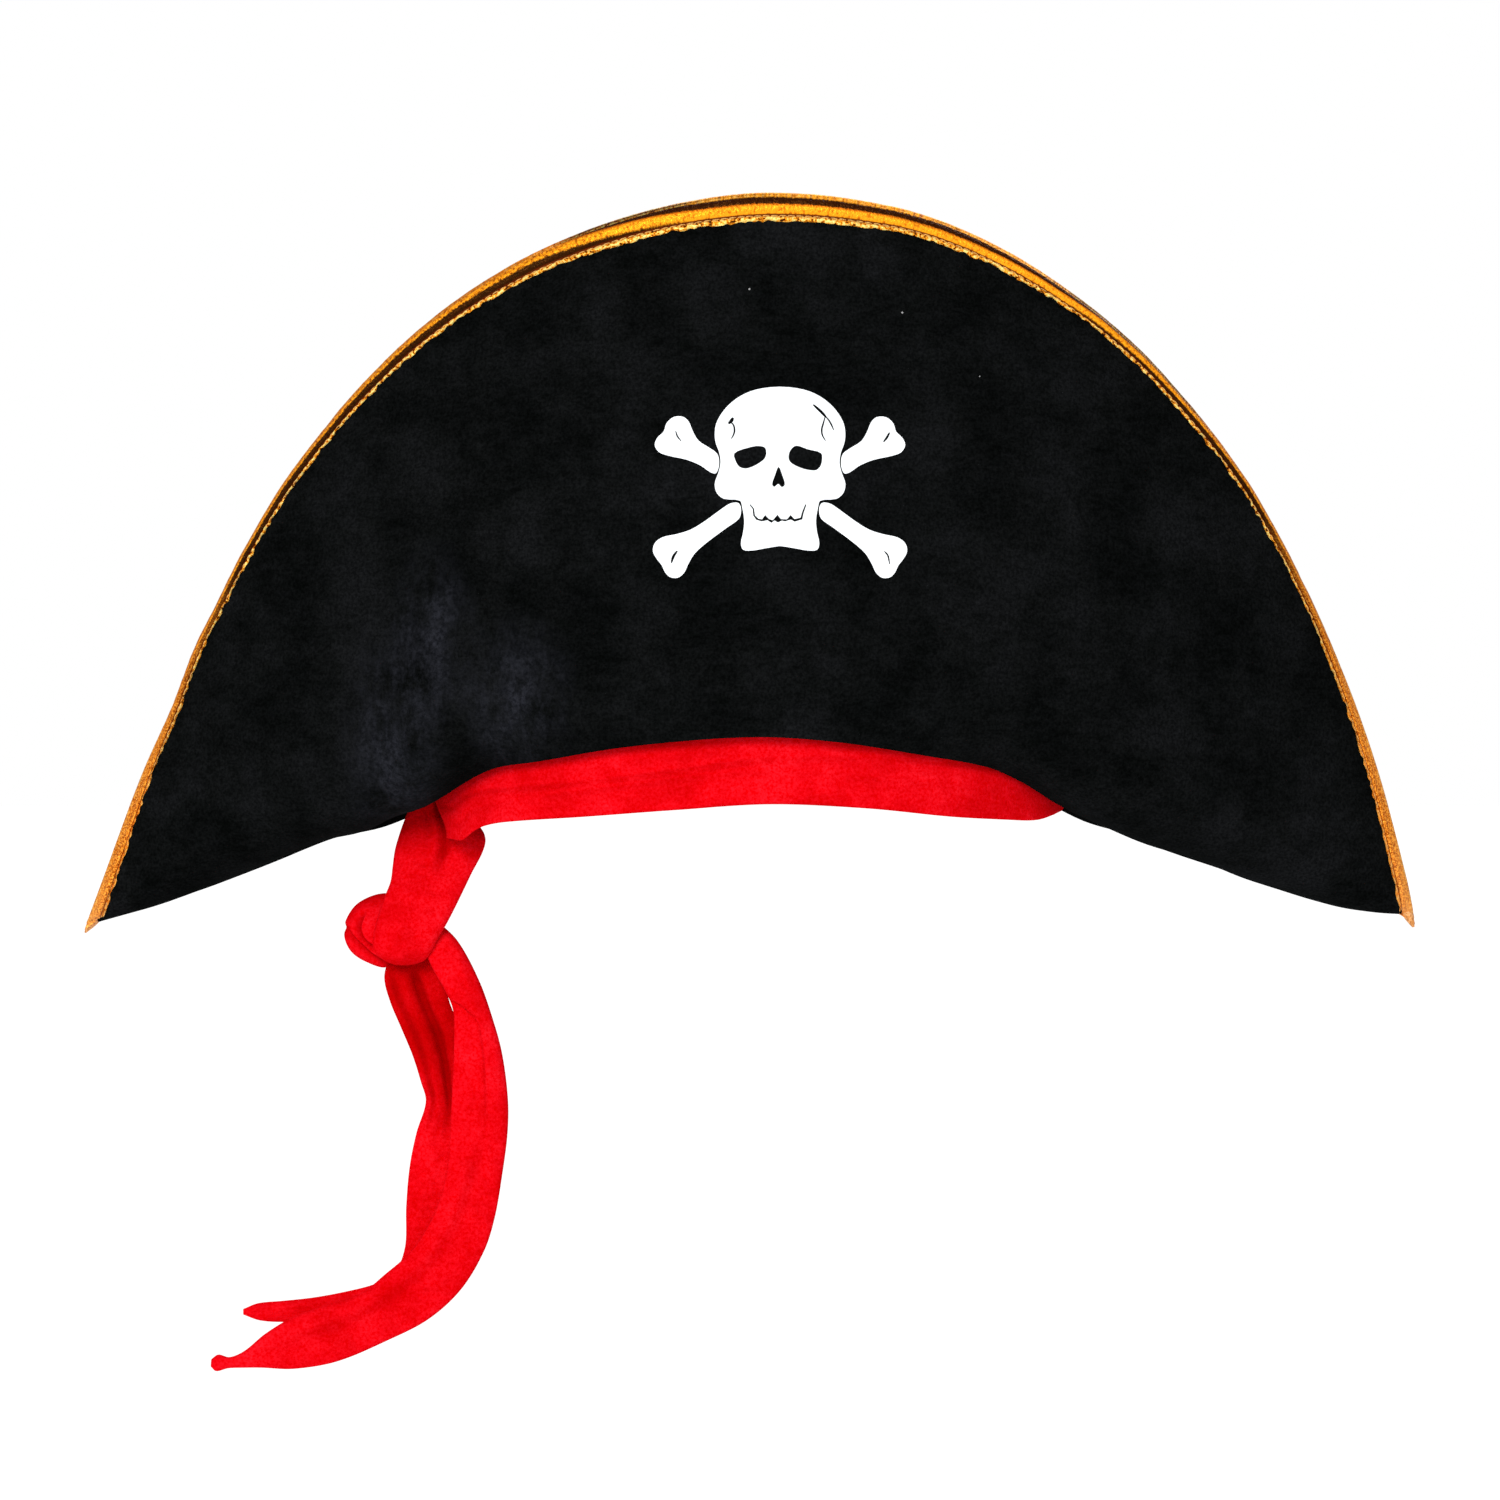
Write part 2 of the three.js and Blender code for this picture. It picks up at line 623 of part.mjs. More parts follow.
for (const [place, wing] of [["front", frontWing], ["back", backWing]]) {
  add(`brim_${place}_cover`, wingLayer(wing, COVER), blackVelvet);
  add(`brim_${place}_foam`, wingLayer(wing, FOAM), blackFoam);
  add(`brim_${place}_lining`, wingLayer(wing, WING_LINING), blackLining);
  add(`trim_${place}`, trim(wing), goldLame);
  add(`trim_thread_${place}`, trimThread(wing), goldThread);
}
add("trim_tip_left", trimTip(-1), goldLame);
add("trim_tip_right", trimTip(1), goldLame);

const SIDE_SLIT = 0.006; // radians left open at each side seam
const frontAngles = anglesBetween(Math.PI + SIDE_SLIT, 2 * Math.PI - SIDE_SLIT, HOLE_STEPS);
const backAngles = anglesBetween(SIDE_SLIT, Math.PI - SIDE_SLIT, HOLE_STEPS);
const allAngles = anglesBetween(0, 2 * Math.PI, RING_STEPS).slice(0, -1);
const LINING_AT = SWEATBAND_T + LAYER_GAP;
const CROWN_AT = LINING_AT + LINING_T + LAYER_GAP;
const HEADBAND_AT = CROWN_AT + CROWN_T + LAYER_GAP;

add("crown_wall_front", capWall(CROWN_AT, CROWN_T, 7, frontAngles, false), blackVelvet);
add("crown_wall_back", capWall(CROWN_AT, CROWN_T, 7, backAngles, false), blackVelvet);
add("crown_top", capTop(CROWN_AT, CROWN_T), blackVelvet);
add("lining_wall", capWall(LINING_AT, LINING_T, 6, allAngles, true), blackLining);
add("lining_top", capTop(LINING_AT, LINING_T), blackLining);

const sweatLow = (a) => bandLow(a) + 2;
const sweatHigh = (a) => bandLow(a) + 2 + SWEATBAND_H;
add("sweatband", band(0, SWEATBAND_T, sweatLow, sweatHigh, allAngles, true), blackLining);
const headband = (angles) => band(HEADBAND_AT, HEADBAND_T, bandLow, () => HEADBAND_TOP, angles, false);
add("headband_front", headband(frontAngles), redVelvet);
add("headband_back", headband(backAngles), redVelvet);

add("sash_tab", sashTab(), redVelvet);
add("sash_drop", strip(DROP, 10), redVelvet);
add("sash_knot", knot(), redVelvet);
add("sash_tail_front", strip(FRONT_TAIL, 24), redVelvet);
add("sash_tail_rear", strip(REAR_TAIL, 20), redVelvet);

add("print_skull", film(frontWing, skullShape()), whiteFilm);
for (const [side, right] of [["left", -1], ["right", 1]]) {
  add(`print_bone_upper_${side}`, film(frontWing, boneShape(right, UPPER_BONE)), whiteFilm);
  add(`print_bone_lower_${side}`, film(frontWing, boneShape(right, LOWER_BONE)), whiteFilm);
}

export default group;
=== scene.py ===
"""The looks of a costume pirate hat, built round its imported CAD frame.

Shapes are worked out in millimetres, in the frame's axes: +X to the right of someone facing the hat,
-Y towards them, +Z up. They become metres when a mesh is made. The wings repeat the CAD's formulae,
so every layer, trim, stitch and print lies on the same surface.
"""
import math

import bmesh
import bpy
import numpy as np
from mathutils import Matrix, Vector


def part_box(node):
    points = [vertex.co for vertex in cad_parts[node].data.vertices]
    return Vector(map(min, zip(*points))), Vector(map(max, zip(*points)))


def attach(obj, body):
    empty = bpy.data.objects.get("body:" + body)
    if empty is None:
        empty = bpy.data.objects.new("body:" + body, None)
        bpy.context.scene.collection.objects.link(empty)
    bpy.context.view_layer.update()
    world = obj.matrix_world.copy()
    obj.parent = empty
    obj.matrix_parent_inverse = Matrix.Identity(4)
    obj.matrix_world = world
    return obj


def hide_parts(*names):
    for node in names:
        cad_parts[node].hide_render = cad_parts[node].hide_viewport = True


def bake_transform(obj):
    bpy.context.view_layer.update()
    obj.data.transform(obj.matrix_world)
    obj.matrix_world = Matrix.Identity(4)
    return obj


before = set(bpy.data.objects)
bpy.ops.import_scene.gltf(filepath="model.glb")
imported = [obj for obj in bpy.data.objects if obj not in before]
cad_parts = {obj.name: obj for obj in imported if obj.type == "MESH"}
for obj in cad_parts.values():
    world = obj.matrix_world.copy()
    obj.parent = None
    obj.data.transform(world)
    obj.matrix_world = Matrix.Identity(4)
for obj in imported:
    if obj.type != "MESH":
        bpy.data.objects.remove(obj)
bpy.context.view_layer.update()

MM = 0.001

# ---- Dimensions shared with the CAD, in millimetres ----

HEAD_A, HEAD_B = 105, 70
SWEATBAND_T = 0.8
LINING_AT, LINING_T = 1.15, 0.5
CROWN_AT, CROWN_T = 2.0, 1.2
HEADBAND_TOP = 40
SWEATBAND_H = 28
SHOULDER_Z, CROWN_TOP_Z = 60, 118
CROWN_ROUNDNESS = 2.5
CROWN_SEAM = 0.62

WING_X, WING_END_X = 227, 230
WING_FRONT_Y, WING_TIP_Y, WING_TOP_Y = 82.2, 6.5, 50
WING_SWEEP = 1.1
FOLD_R = 30
TIP_SKIVE, SKIVE_FROM_X = 0.42, 180
PANEL_T = 3.7
WING_LINING = (4.6, 5.4)
TRIM_RISE = 1.95
TRIM_INSIDE = 8

# (x, z) along the outer edge of the front trim, and along the lower edge of the wings.
OUTLINE = [
    (-235, -40.5), (-215, 12.7), (-203, 40), (-193, 64.5), (-160, 122), (-118, 167.8), (-66, 200),
    (-5, 216), (50, 211.7), (90, 196.5), (132, 167), (164, 132), (186, 99.5), (207, 55.5), (222, 14),
    (231.5, -21.5), (235, -38.5),
]
BOTTOM = [
    (-231, -37.8), (-210, -31.9), (-182, -22), (-149, -8.6), (-133, -4.6), (-121, 0.6), (-108, 6.8),
    (-90, 15.8), (-74, 18.6), (-39, 24.2), (0, 27.3), (29, 25.7), (58, 21.4), (82, 17), (93, 12.2),
    (109, 3.2), (141, -9.8), (182, -24.5), (206, -32), (221, -34.4), (231, -34.9),
]

# The width of the trim's face, by the distance from the middle of the hat.
TRIM_FACE = [(0, 9.2), (80, 6.5), (130, 4.1), (190, 2.2), (215, 2.2), (231, 3.2)]

# How much higher the back rim is, in the middle and at the tips.
BACK_RISE = (8, 2)

# The hole in the brim is drawn closer to the headband than the CAD's, and the seam between the
# wings is all but closed.
HOLE_X, HOLE_A, HOLE_B = -1.3, 114.7, 81.8
SEAM_GAP = 0.03


# ---- Curves and noise ----

def smooth(t):
    t = np.clip(t, 0, 1)
    return t * t * (3 - 2 * t)


def curve_through(points):
    """A smooth function through (x, value) points in rising x."""
    xs, ys = np.array(points, float).T
    last = len(xs) - 1
    low = np.maximum(np.arange(last + 1) - 1, 0)
    high = np.minimum(np.arange(last + 1) + 1, last)
    slopes = (ys[high] - ys[low]) / (xs[high] - xs[low])

    def value(x):
        i = np.clip(np.searchsorted(xs, x, side="right") - 1, 0, last - 1)
        span = xs[i + 1] - xs[i]
        t = np.clip((x - xs[i]) / span, 0, 1)
        bend = (1 - t) * slopes[i] - t * slopes[i + 1]
        return ys[i] + (ys[i + 1] - ys[i]) * smooth(t) + span * t * (1 - t) * bend

    return value


def even_curve(points):
    """The same on both sides of x = 0."""
    return curve_through([(-x, v) for x, v in reversed(points) if x > 0] + list(points))


def through_stations(at, stations, u):
    """Each column of a table of stations, at the places u. The stations are at the places in at."""
    return [curve_through(list(zip(at, column)))(u) for column in np.array(stations, float).T]


def around_circle(count):
    return np.arange(count) * (2 * math.pi / count)


def bump_at(x, centre, width):
    """A soft hump, 1 at its centre."""
    return np.exp(-(((x - centre) / width) ** 2))


def soft_noise(u, v, size, seed):
    """Smooth noise from -1 to 1 over two coordinates, with features of about the given size."""
    lattice = np.random.default_rng(seed).uniform(-1, 1, (64, 64))
    a, b = np.asarray(u) / size, np.asarray(v) / size
    i, j = np.floor(a).astype(int), np.floor(b).astype(int)
    s, t = smooth(a - i), smooth(b - j)

    def at(di, dj):
        return lattice[(i + di) % 64, (j + dj) % 64]

    near = at(0, 0) * (1 - s) + at(1, 0) * s
    far = at(0, 1) * (1 - s) + at(1, 1) * s
    return near * (1 - t) + far * t


# ---- Meshes ----

def new_mesh(name, points, faces, material, uv=None):
    """A smooth mesh object from points in millimetres. uv gives one (u, v) for each point."""
    mesh = bpy.data.meshes.new(name)
    mesh.from_pydata((np.asarray(points, float).reshape(-1, 3) * MM).tolist(), [], faces)
    mesh.shade_smooth()
    mesh.materials.append(material)
    if uv is not None:
        layer = mesh.uv_layers.new(name="cloth")
        corners = np.empty(len(mesh.loops), int)
        mesh.loops.foreach_get("vertex_index", corners)
        layer.data.foreach_set("uv", np.asarray(uv, float)[corners].ravel())
    obj = bpy.data.objects.new(name, mesh)
    bpy.context.scene.collection.objects.link(obj)
    return obj


def face_out(obj):
    """Turns a closed mesh's faces outwards."""
    bm = bmesh.new()
    bm.from_mesh(obj.data)
    bmesh.ops.remove_doubles(bm, verts=bm.verts, dist=1e-6)
    bmesh.ops.recalc_face_normals(bm, faces=bm.faces)
    bm.to_mesh(obj.data)
    bm.free()
    return obj


def grid_faces(rows, columns, ring=False, first=0, flip=False):
    faces = []
    for i in range(rows - 1):
        for j in range(columns if ring else columns - 1):
            k = (j + 1) % columns
            quad = [i * columns + j, i * columns + k, (i + 1) * columns + k, (i + 1) * columns + j]
            faces.append([first + c for c in (reversed(quad) if flip else quad)])
    return faces


def sheet_mesh(name, grid, material, uv):
    """An open sheet through grid[row, column]."""
    rows, columns = grid.shape[:2]
    return new_mesh(name, grid, grid_faces(rows, columns), material, uv.reshape(-1, 2))


def fold_uv(hollow):
    """UVs that hold how deep in a fold each point lies, for the painted shade in folds: 0 on the open cloth
    and 1 at the bottom of a fold.
    """
    return np.stack([np.zeros(hollow.size), hollow.ravel()], axis=-1)


def shell_mesh(name, outer, inner, material, ring=False, hollow=None):
    """A closed shell between two grids of the same size. A ring's last column joins its first."""
    rows, columns = outer.shape[:2]
    count = rows * columns
    faces = grid_faces(rows, columns, ring) + grid_faces(rows, columns, ring, count, flip=True)
    for row in (0, rows - 1):
        for j in range(columns if ring else columns - 1):
            a, b = row * columns + j, row * columns + (j + 1) % columns
            faces.append([a, count + a, count + b, b])
    if not ring:
        for column in (0, columns - 1):
            for i in range(rows - 1):
                a, b = i * columns + column, (i + 1) * columns + column
                faces.append([a, b, count + b, count + a])
    points = np.concatenate([outer.reshape(-1, 3), inner.reshape(-1, 3)])
    uv = None if hollow is None else fold_uv(np.concatenate([hollow.ravel(), np.zeros(count)]))
    return face_out(new_mesh(name, points, faces, material, uv))


def layered_shell(name, row, shares, offsets, material, ring=False):
    """A shell from row(share, out), which gives a row of points on its outer or its inner face."""
    outer, inner = (np.stack([row(share, out) for share in shares]) for out in offsets)
    return shell_mesh(name, outer, inner, material, ring)


def tube_mesh(name, sections, material, hollow=None):
    """A closed tube through sections[i, j], with both ends filled."""
    rows, columns = sections.shape[:2]
    faces = grid_faces(rows, columns, ring=True)
    faces.append(list(range(columns)))
    faces.append(list(range((rows - 1) * columns, rows * columns)))
    uv = None if hollow is None else fold_uv(hollow)
    return face_out(new_mesh(name, sections, faces, material, uv))


def on_hat(obj, slot, *nodes):
    """Fixes a piece to the hat's body and hides the CAD nodes it stands in for. slot is not used."""
    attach(obj, "hat")
    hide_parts(*nodes)


# ---- Wings ----

outline = curve_through(OUTLINE)
bottom_edge = curve_through(BOTTOM)
trim_face = even_curve(TRIM_FACE)


def slope_of(f, x):
    return f(x + 0.5) - f(x - 0.5)


class Wing:
    """One turned-up half of the brim. side is -1 for the front and 1 for the back."""

    def __init__(self, side, rise, wrinkles):
        self.side = side
        self.rise = rise
        self.wrinkles = wrinkles

    def plan(self, x, depth):
        full = np.clip(1 - (x / WING_X) ** 2, 0, None) ** WING_SWEEP
        return WING_TIP_Y + (depth - WING_TIP_Y) * full

    def rim(self, x):
        """The outer edge of the trim."""
        middle = np.clip(1 - (x / WING_X) ** 2, 0, None)
        return outline(x) + self.rise[1] + (self.rise[0] - self.rise[1]) * middle

    def top(self, x):
        return self.rim(x) - TRIM_RISE * np.hypot(1, slope_of(self.rim, x))

    def section(self, x):
        low, top, out = bottom_edge(x), self.top(x), self.plan(x, WING_FRONT_Y)
        r = np.minimum(np.minimum(FOLD_R, out), 0.5 * (top - low))
        hole = HOLE_B * np.sqrt(np.clip(1 - ((x - HOLE_X) / HOLE_A) ** 2, 0, None)) + SEAM_GAP
        reach = out - hole
        turn = np.where(reach < r, np.arccos(np.clip(1 - reach / r, -1, 1)), math.pi / 2)
        run = np.clip(reach - r, 0, None)
        return low, top, out, r, turn, run, low + r * np.sin(turn)

    def base(self, x, q):
        """The point at x that is q below the foot of the wall along the surface, or -q above it."""
        low, top, out, r, turn, run, start = self.section(x)
        lean = self.plan(x, WING_TOP_Y) - out
        up = np.clip(-q / (top - start), 0, None)
        wall_y, wall_z = out + lean * up**2, start - q
        flat = (q > r * turn) & (turn > math.pi / 2 - 1e-9)
        angle = q / r
        roll_y, roll_z = out - r + r * np.cos(angle), start - r * np.sin(angle)
        y = np.where(q <= 0, wall_y, np.where(flat, out - r - (q - r * turn), roll_y))
        z = np.where(q <= 0, wall_z, np.where(flat, low, roll_z))
        return np.stack([x, self.side * y, z], axis=-1)

    def normal(self, x, q):
        h = 0.4
        along = self.base(x + h, q) - self.base(x - h, q)
        down = self.base(x, q + h) - self.base(x, q - h)
        n = self.side * np.cross(along, down)
        return n / np.linalg.norm(n, axis=-1, keepdims=True)

    def skive(self, x):
        return 1 - (1 - TIP_SKIVE) * smooth((np.abs(x) - SKIVE_FROM_X) / (WING_X - SKIVE_FROM_X))

    def at(self, x, q, depth):
        """A point at a depth below the outer face, wrinkles included."""
        p = self.base(x, q)
        lift = self.wrinkles(x, p[..., 2]) - depth
        return p + self.normal(x, q) * np.asarray(lift)[..., None]

    def on_face(self, x, z, depth):
        """The same for a place given by its height. Past the wing's ends it runs on straight."""
        xc = np.clip(x, -WING_END_X + 1, WING_END_X - 1)
        low, top, out, r, turn, run, start = self.section(xc)
        zc = np.clip(z, low + 0.02 * r, top)
        q = np.where(zc >= start, start - zc, r * np.arcsin(np.clip((start - zc) / r, 0, 0.98)))
        p = self.at(xc, q, depth)
        return p + np.stack([x - xc, np.zeros_like(xc), z - zc], axis=-1)


def front_wrinkles(x, z):
    """Dents and soft folds of the front cover, in millimetres outwards."""
    low = np.exp(-np.clip(z + 25, 0, None) / 60)
    left = 1.3 * bump_at(x, -113, 9) - 1.1 * bump_at(x, -126, 6) + 0.8 * bump_at(x, -141, 8)
    right = 0.9 * bump_at(x, 137, 11) - 0.7 * bump_at(x, 158, 9) + 0.5 * bump_at(x, 176, 10)
    calm = 1 - 0.8 * bump_at(x, 10, 55) * bump_at(z, 116, 45)
    dents = 0.5 * soft_noise(x, z, 46, 3) + 0.2 * soft_noise(x, z, 17, 4)
    return (left + right) * low + dents * calm


def back_wrinkles(x, z):
    low = np.exp(-np.clip(z + 20, 0, None) / 55)
    folds = 1.0 * bump_at(x, 118, 10) - 0.9 * bump_at(x, 133, 7) + 1.1 * bump_at(x, -122, 12)
    return folds * low + 0.6 * soft_noise(x, z, 50, 8) + 0.2 * soft_noise(x, z, 18, 9)


FOOT_ROWS, WALL_ROWS = 18, 64


def wing_grid(wing, columns, depth):
    """Rows up a wing, from the hole in the brim to the top edge."""
    low, top, out, r, turn, run, start = wing.section(columns)
    below, wall = run + r * turn, top - start
    rows = [below * (1 - i / FOOT_ROWS) for i in range(FOOT_ROWS)]
    rows += [-wall * (i / WALL_ROWS) for i in range(WALL_ROWS + 1)]
    return np.stack([wing.at(columns, q, depth * wing.skive(columns)) for q in rows])


def wing_columns():
    """Places along a wing, closest together at the ends of the hole and at the tips."""
    middle = HOLE_X + HOLE_A * np.sin(np.linspace(-math.pi / 2, math.pi / 2, 141))
    share = np.sin(np.linspace(0, math.pi / 2, 60)[1:])
    left = middle[0] - (WING_END_X + middle[0]) * share
    right = middle[-1] + (WING_END_X - middle[-1]) * share
    return np.concatenate([left[::-1], middle, right])


def build_wing(wing, place, velvet, cloth):
    columns = wing_columns()
    outer, inner = (wing_grid(wing, columns, depth) for depth in (0, PANEL_T))
    panel = shell_mesh(f"{place}_wing_velvet", outer, inner, velvet)
    on_hat(panel, "black_velvet", f"brim_{place}_cover", f"brim_{place}_foam")
    outer, inner = (wing_grid(wing, columns, depth) for depth in WING_LINING)
    lining = shell_mesh(f"{place}_wing_lining", outer, inner, cloth)
    on_hat(lining, "black_lining", f"brim_{place}_lining")


# ---- Trim ----

# The face of the trim, from the edge of its flange up to the rim: a share of its width, and how far
# it stands off the cover.
TRIM_FRONT_SECTION = [
    (1.0, 0.15), (0.98, 0.6), (0.93, 0.85), (0.87, 0.85), (0.81, 0.65), (0.765, 0.2), (0.72, 0.55),
    (0.66, 1.1), (0.58, 1.5), (0.48, 1.8), (0.36, 1.95), (0.24, 1.95), (0.12, 1.75), (0.04, 1.4),
]
GROOVE_AT = 0.765
EAR_CUTS = (7.8, 4.8)  # how much further the outer edge of the strip runs, at the left and right ends


def trim_profile(face, thick):
    """Across the trim: distances inwards from the top edge, distances off the cover, and v.

    v is 0 at the edge of the flange, 1 at the outermost line and 2 at the edge behind."""
    front = [(face * share, np.full_like(face, off), 0.9 * (1 - share)) for share, off in TRIM_FRONT_SECTION]
    over = []
    for turn in np.linspace(0.1, 0.9, 9):
        inward = -TRIM_RISE * math.sin(turn * math.pi)
        off = -thick / 2 + (thick / 2 + 1.1) * math.cos(turn * math.pi)
        over.append((np.full_like(face, inward), off, 0.8 + 0.4 * turn))
    inside = np.minimum(face, TRIM_INSIDE)
    back = [
        (inside * share, -thick - off, 1.2 + 0.8 * share)
        for share, off in ((0.1, 1.2), (0.4, 1.5), (0.75, 1.0), (1.0, 0.55))
    ]
    return front + over + back


def rim_path(wing):
    """Places along the outer edge of a trim, by distance: x, z, and the way inwards at each."""
    x = np.linspace(-235, 235, 6001)
    z = wing.rim(x)
    length = np.concatenate([[0], np.cumsum(np.hypot(np.diff(x), np.diff(z)))])
    return length, x, z, np.gradient(z, length), -np.gradient(x, length)


def trim_grid(wing, count):
    """Points of the trim, with (along in metres, across) for each. Its ends are cut on a slant."""
    length, x, z, in_x, in_z = rim_path(wing)
    total = length[-1]
    share = np.linspace(0, 1, count)
    face = trim_face(np.interp(share * total, length, x))
    thick = WING_LINING[1] * wing.skive(np.interp(share * total, length, x)) + 0.5
    tucks = 0.45 * np.abs(soft_noise(share * total, 5, 11, 24)) ** 0.5
    rows, uv = [], []
    for k, (inward, off, across) in enumerate(trim_profile(face, thick)):
        slant = np.clip((inward + TRIM_RISE) / (face + TRIM_RISE), 0, 1)
        along = EAR_CUTS[0] * slant + share * (total - sum(EAR_CUTS) * slant)
        flange = smooth((0.22 - across) / 0.2)
        ragged = flange * (0.45 * soft_noise(along, 3, 1.7, 23) + tucks)
        pucker = 0.1 * soft_noise(along, k * 1.7, 2.2, 21) + 0.2 * soft_noise(along, k * 0.9, 9, 22)
        pucker = pucker + 0.3 * flange * soft_noise(along, k * 0.8, 1.5, 25)
        from_rim = TRIM_RISE + inward - ragged
        px = np.interp(along, length, x) + np.interp(along, length, in_x) * from_rim
        pz = np.interp(along, length, z) + np.interp(along, length, in_z) * from_rim
        placed = wing.on_face(px, pz, -(off + pucker))
        exact = smooth((np.abs(px) - 195) / 25)
        placed[:, 0] += (px - placed[:, 0]) * exact
        placed[:, 2] += (pz - placed[:, 2]) * exact
        rows.append(placed)
        uv.append(np.stack([along * MM, np.full_like(along, across)], axis=-1))
    return np.stack(rows), np.stack(uv), total


def build_trim(wing, place, lame):
    grid, uv, length = trim_grid(wing, 1100)
    trim = sheet_mesh(f"{place}_trim", grid, lame, uv)
    on_hat(trim, "gold_lame", f"trim_{place}")


STITCH_PITCH, STITCH_LENGTH, STITCH_R = 3.1, 2.3, 0.2
STITCH_RINGS, STITCH_SIDES = 5, 6
UNSTITCHED = 8  # at each end of a trim


def stitch_sections(middle, along, out):
    """Rings of one stitch: it rises out of the cloth and goes down again."""
    side = np.cross(along, out)
    turns = around_circle(STITCH_SIDES)
    rings = []
    for t in np.linspace(-1, 1, STITCH_RINGS):
        centre = middle + along * (t * STITCH_LENGTH / 2) + out * (STITCH_R * (0.9 - 1.7 * t * t))
        rings.append([centre + STITCH_R * (side * math.cos(a) + out * math.sin(a)) for a in turns])
    return np.array(rings)


def build_stitches(wing, place, thread):
    """Machine stitches along the groove of a trim."""
    length, x, z, in_x, in_z = rim_path(wing)
    points, faces = [], []
    for along in np.arange(UNSTITCHED, length[-1] - UNSTITCHED, STITCH_PITCH):
        px, pz, nx, nz = (np.interp(along, length, f) for f in (x, z, in_x, in_z))
        inward = TRIM_RISE + trim_face(px) * GROOVE_AT
        spot = np.array([px + nx * inward])
        height = np.array([pz + nz * inward])
        middle, above = wing.on_face(spot, height, -0.55)[0], wing.on_face(spot, height, -1.55)[0]
        out = above - middle
        direction = np.cross(out, [nx, 0, nz])
        direction /= np.linalg.norm(direction)
        rings = stitch_sections(middle, direction, out)
        faces += grid_faces(STITCH_RINGS, STITCH_SIDES, ring=True, first=len(points))
        points += list(rings.reshape(-1, 3))
    stitches = new_mesh(f"{place}_trim_stitches", points, faces, thread)
    on_hat(stitches, "gold_thread", f"trim_thread_{place}")


# The pale ear at each end, seen from the front: (x, z) of its middle, half its width, half its depth.
EARS = {
    "left": [
        (-227.6, -28, 1.0, 5), (-229.6, -32.5, 1.8, 5), (-231.2, -36, 2.0, 4.2), (-233, -38.9, 1.3, 2.8),
        (-234.2, -40.4, 0.8, 1.6), (-235, -41.6, 0.3, 0.6),
    ],
    "right": [
        (230.6, -25, 0.8, 5), (231.4, -29, 1.8, 5), (232.1, -33, 2.1, 4.2), (233, -36, 1.6, 2.8),
        (234, -38.3, 0.9, 1.6), (234.6, -39.6, 0.4, 0.6),
    ],
}


def build_ear(name, reverse):
    """The folded end of the gold strip at one tip, with its paler back outwards."""
    stations = EARS[name]
    places = np.linspace(0, 1, len(stations))
    x, z, half, deep = through_stations(places, stations, np.linspace(0, 1, 26))
    around = around_circle(24)
    ring_x = x[:, None] + half[:, None] * np.cos(around)
    ring_y = deep[:, None] * np.sin(around)
    ring_z = z[:, None] + 0.35 * np.sign(x[:, None]) * half[:, None] * np.cos(around)
    ear = tube_mesh(f"trim_ear_{name}", np.stack([ring_x, ring_y, ring_z], axis=-1), reverse)
    on_hat(ear, "gold_lame", f"trim_tip_{name}")


# ---- Crown and bands ----

def oval(angle, out, scale=1.0):
    return (HEAD_A + out) * scale * np.cos(angle), (HEAD_B + out) * scale * np.sin(angle)


def band_low(angle):
    """The lower edge of the headband: arched in front, and lower by the sash."""
    x = np.cos(angle)
    arch = 4.8 * np.sin(angle) ** 2
    return arch - 4.2 * smooth((-x - 0.2) / 0.8) - 0.8 * smooth((x - 0.5) / 0.5)


def crown_point(angle, up, out):
    turn = up * math.pi / 2
    power = 2 / CROWN_ROUNDNESS
    x, y = oval(angle, out, np.cos(turn) ** power)
    z = SHOULDER_Z + (CROWN_TOP_Z - SHOULDER_Z + out) * math.sin(turn) ** power
    return np.stack([x, y, np.full_like(x, z)], axis=-1)


def cap_row(angle, share, out, above):
    """A row of points round the cap's wall: share is 0 at the bottom and 1 at the seam with the top."""
    shoulder = 0.5
    if share >= shoulder:
        return crown_point(angle, CROWN_SEAM * (share - shoulder) / (1 - shoulder), out)
    low = band_low(angle) + above
    x, y = oval(angle, out)
    return np.stack([x, y, low + (SHOULDER_Z - low) * share / shoulder], axis=-1)


def puff(t, edge):
    """How full a piece of cloth is across its width: pulled in at its seams."""
    return np.clip(np.minimum(t, 1 - t) / edge, 0, 1) ** 0.5


def crown_wall_row(angle, share, out):
    """A row of a crown wall. Its outer face is dented, and pulled in at the seams."""
    if out > CROWN_AT:
        side_seam = puff(np.linspace(0, 1, len(angle)), 0.02)
        out = out - 0.9 * (1 - side_seam * puff(share * 0.5 + 0.5, 0.012))
        out = out + 0.5 * soft_noise(angle * 80, share * 90, 26, 31)
    return cap_row(angle, share, out, 7)


def build_crown(velvet):
    for place, start in (("front", math.pi), ("back", 0.0)):
        angle = np.linspace(start + 0.001, start + math.pi - 0.001, 120)
        wall = layered_shell(
            f"crown_{place}_velvet", lambda share, out: crown_wall_row(angle, share, out),
            np.linspace(0, 1, 48), (CROWN_AT + CROWN_T, CROWN_AT), velvet,
        )
        on_hat(wall, "black_velvet", f"crown_wall_{place}")


def cap_top(name, at, thick, material, replaced, slot, seed):
    """The domed oval that closes the crown, or its lining."""
    angle = around_circle(120)

    def row(share, out):
        up = CROWN_SEAM + 0.001 + (0.9989 - CROWN_SEAM) * share**0.8
        pull = 0.8 * (1 - puff(share * 0.5, 0.03)) if out > at else 0.0
        dent = 0.6 * soft_noise(np.cos(angle) * up * 60, np.sin(angle) * (1 - up) * 200, 22, seed)
        return crown_point(angle, up, out - pull + dent * (up < 0.99))

    top = layered_shell(name, row, np.linspace(0, 1, 26), (at + thick, at), material, ring=True)
    on_hat(top, slot, replaced)


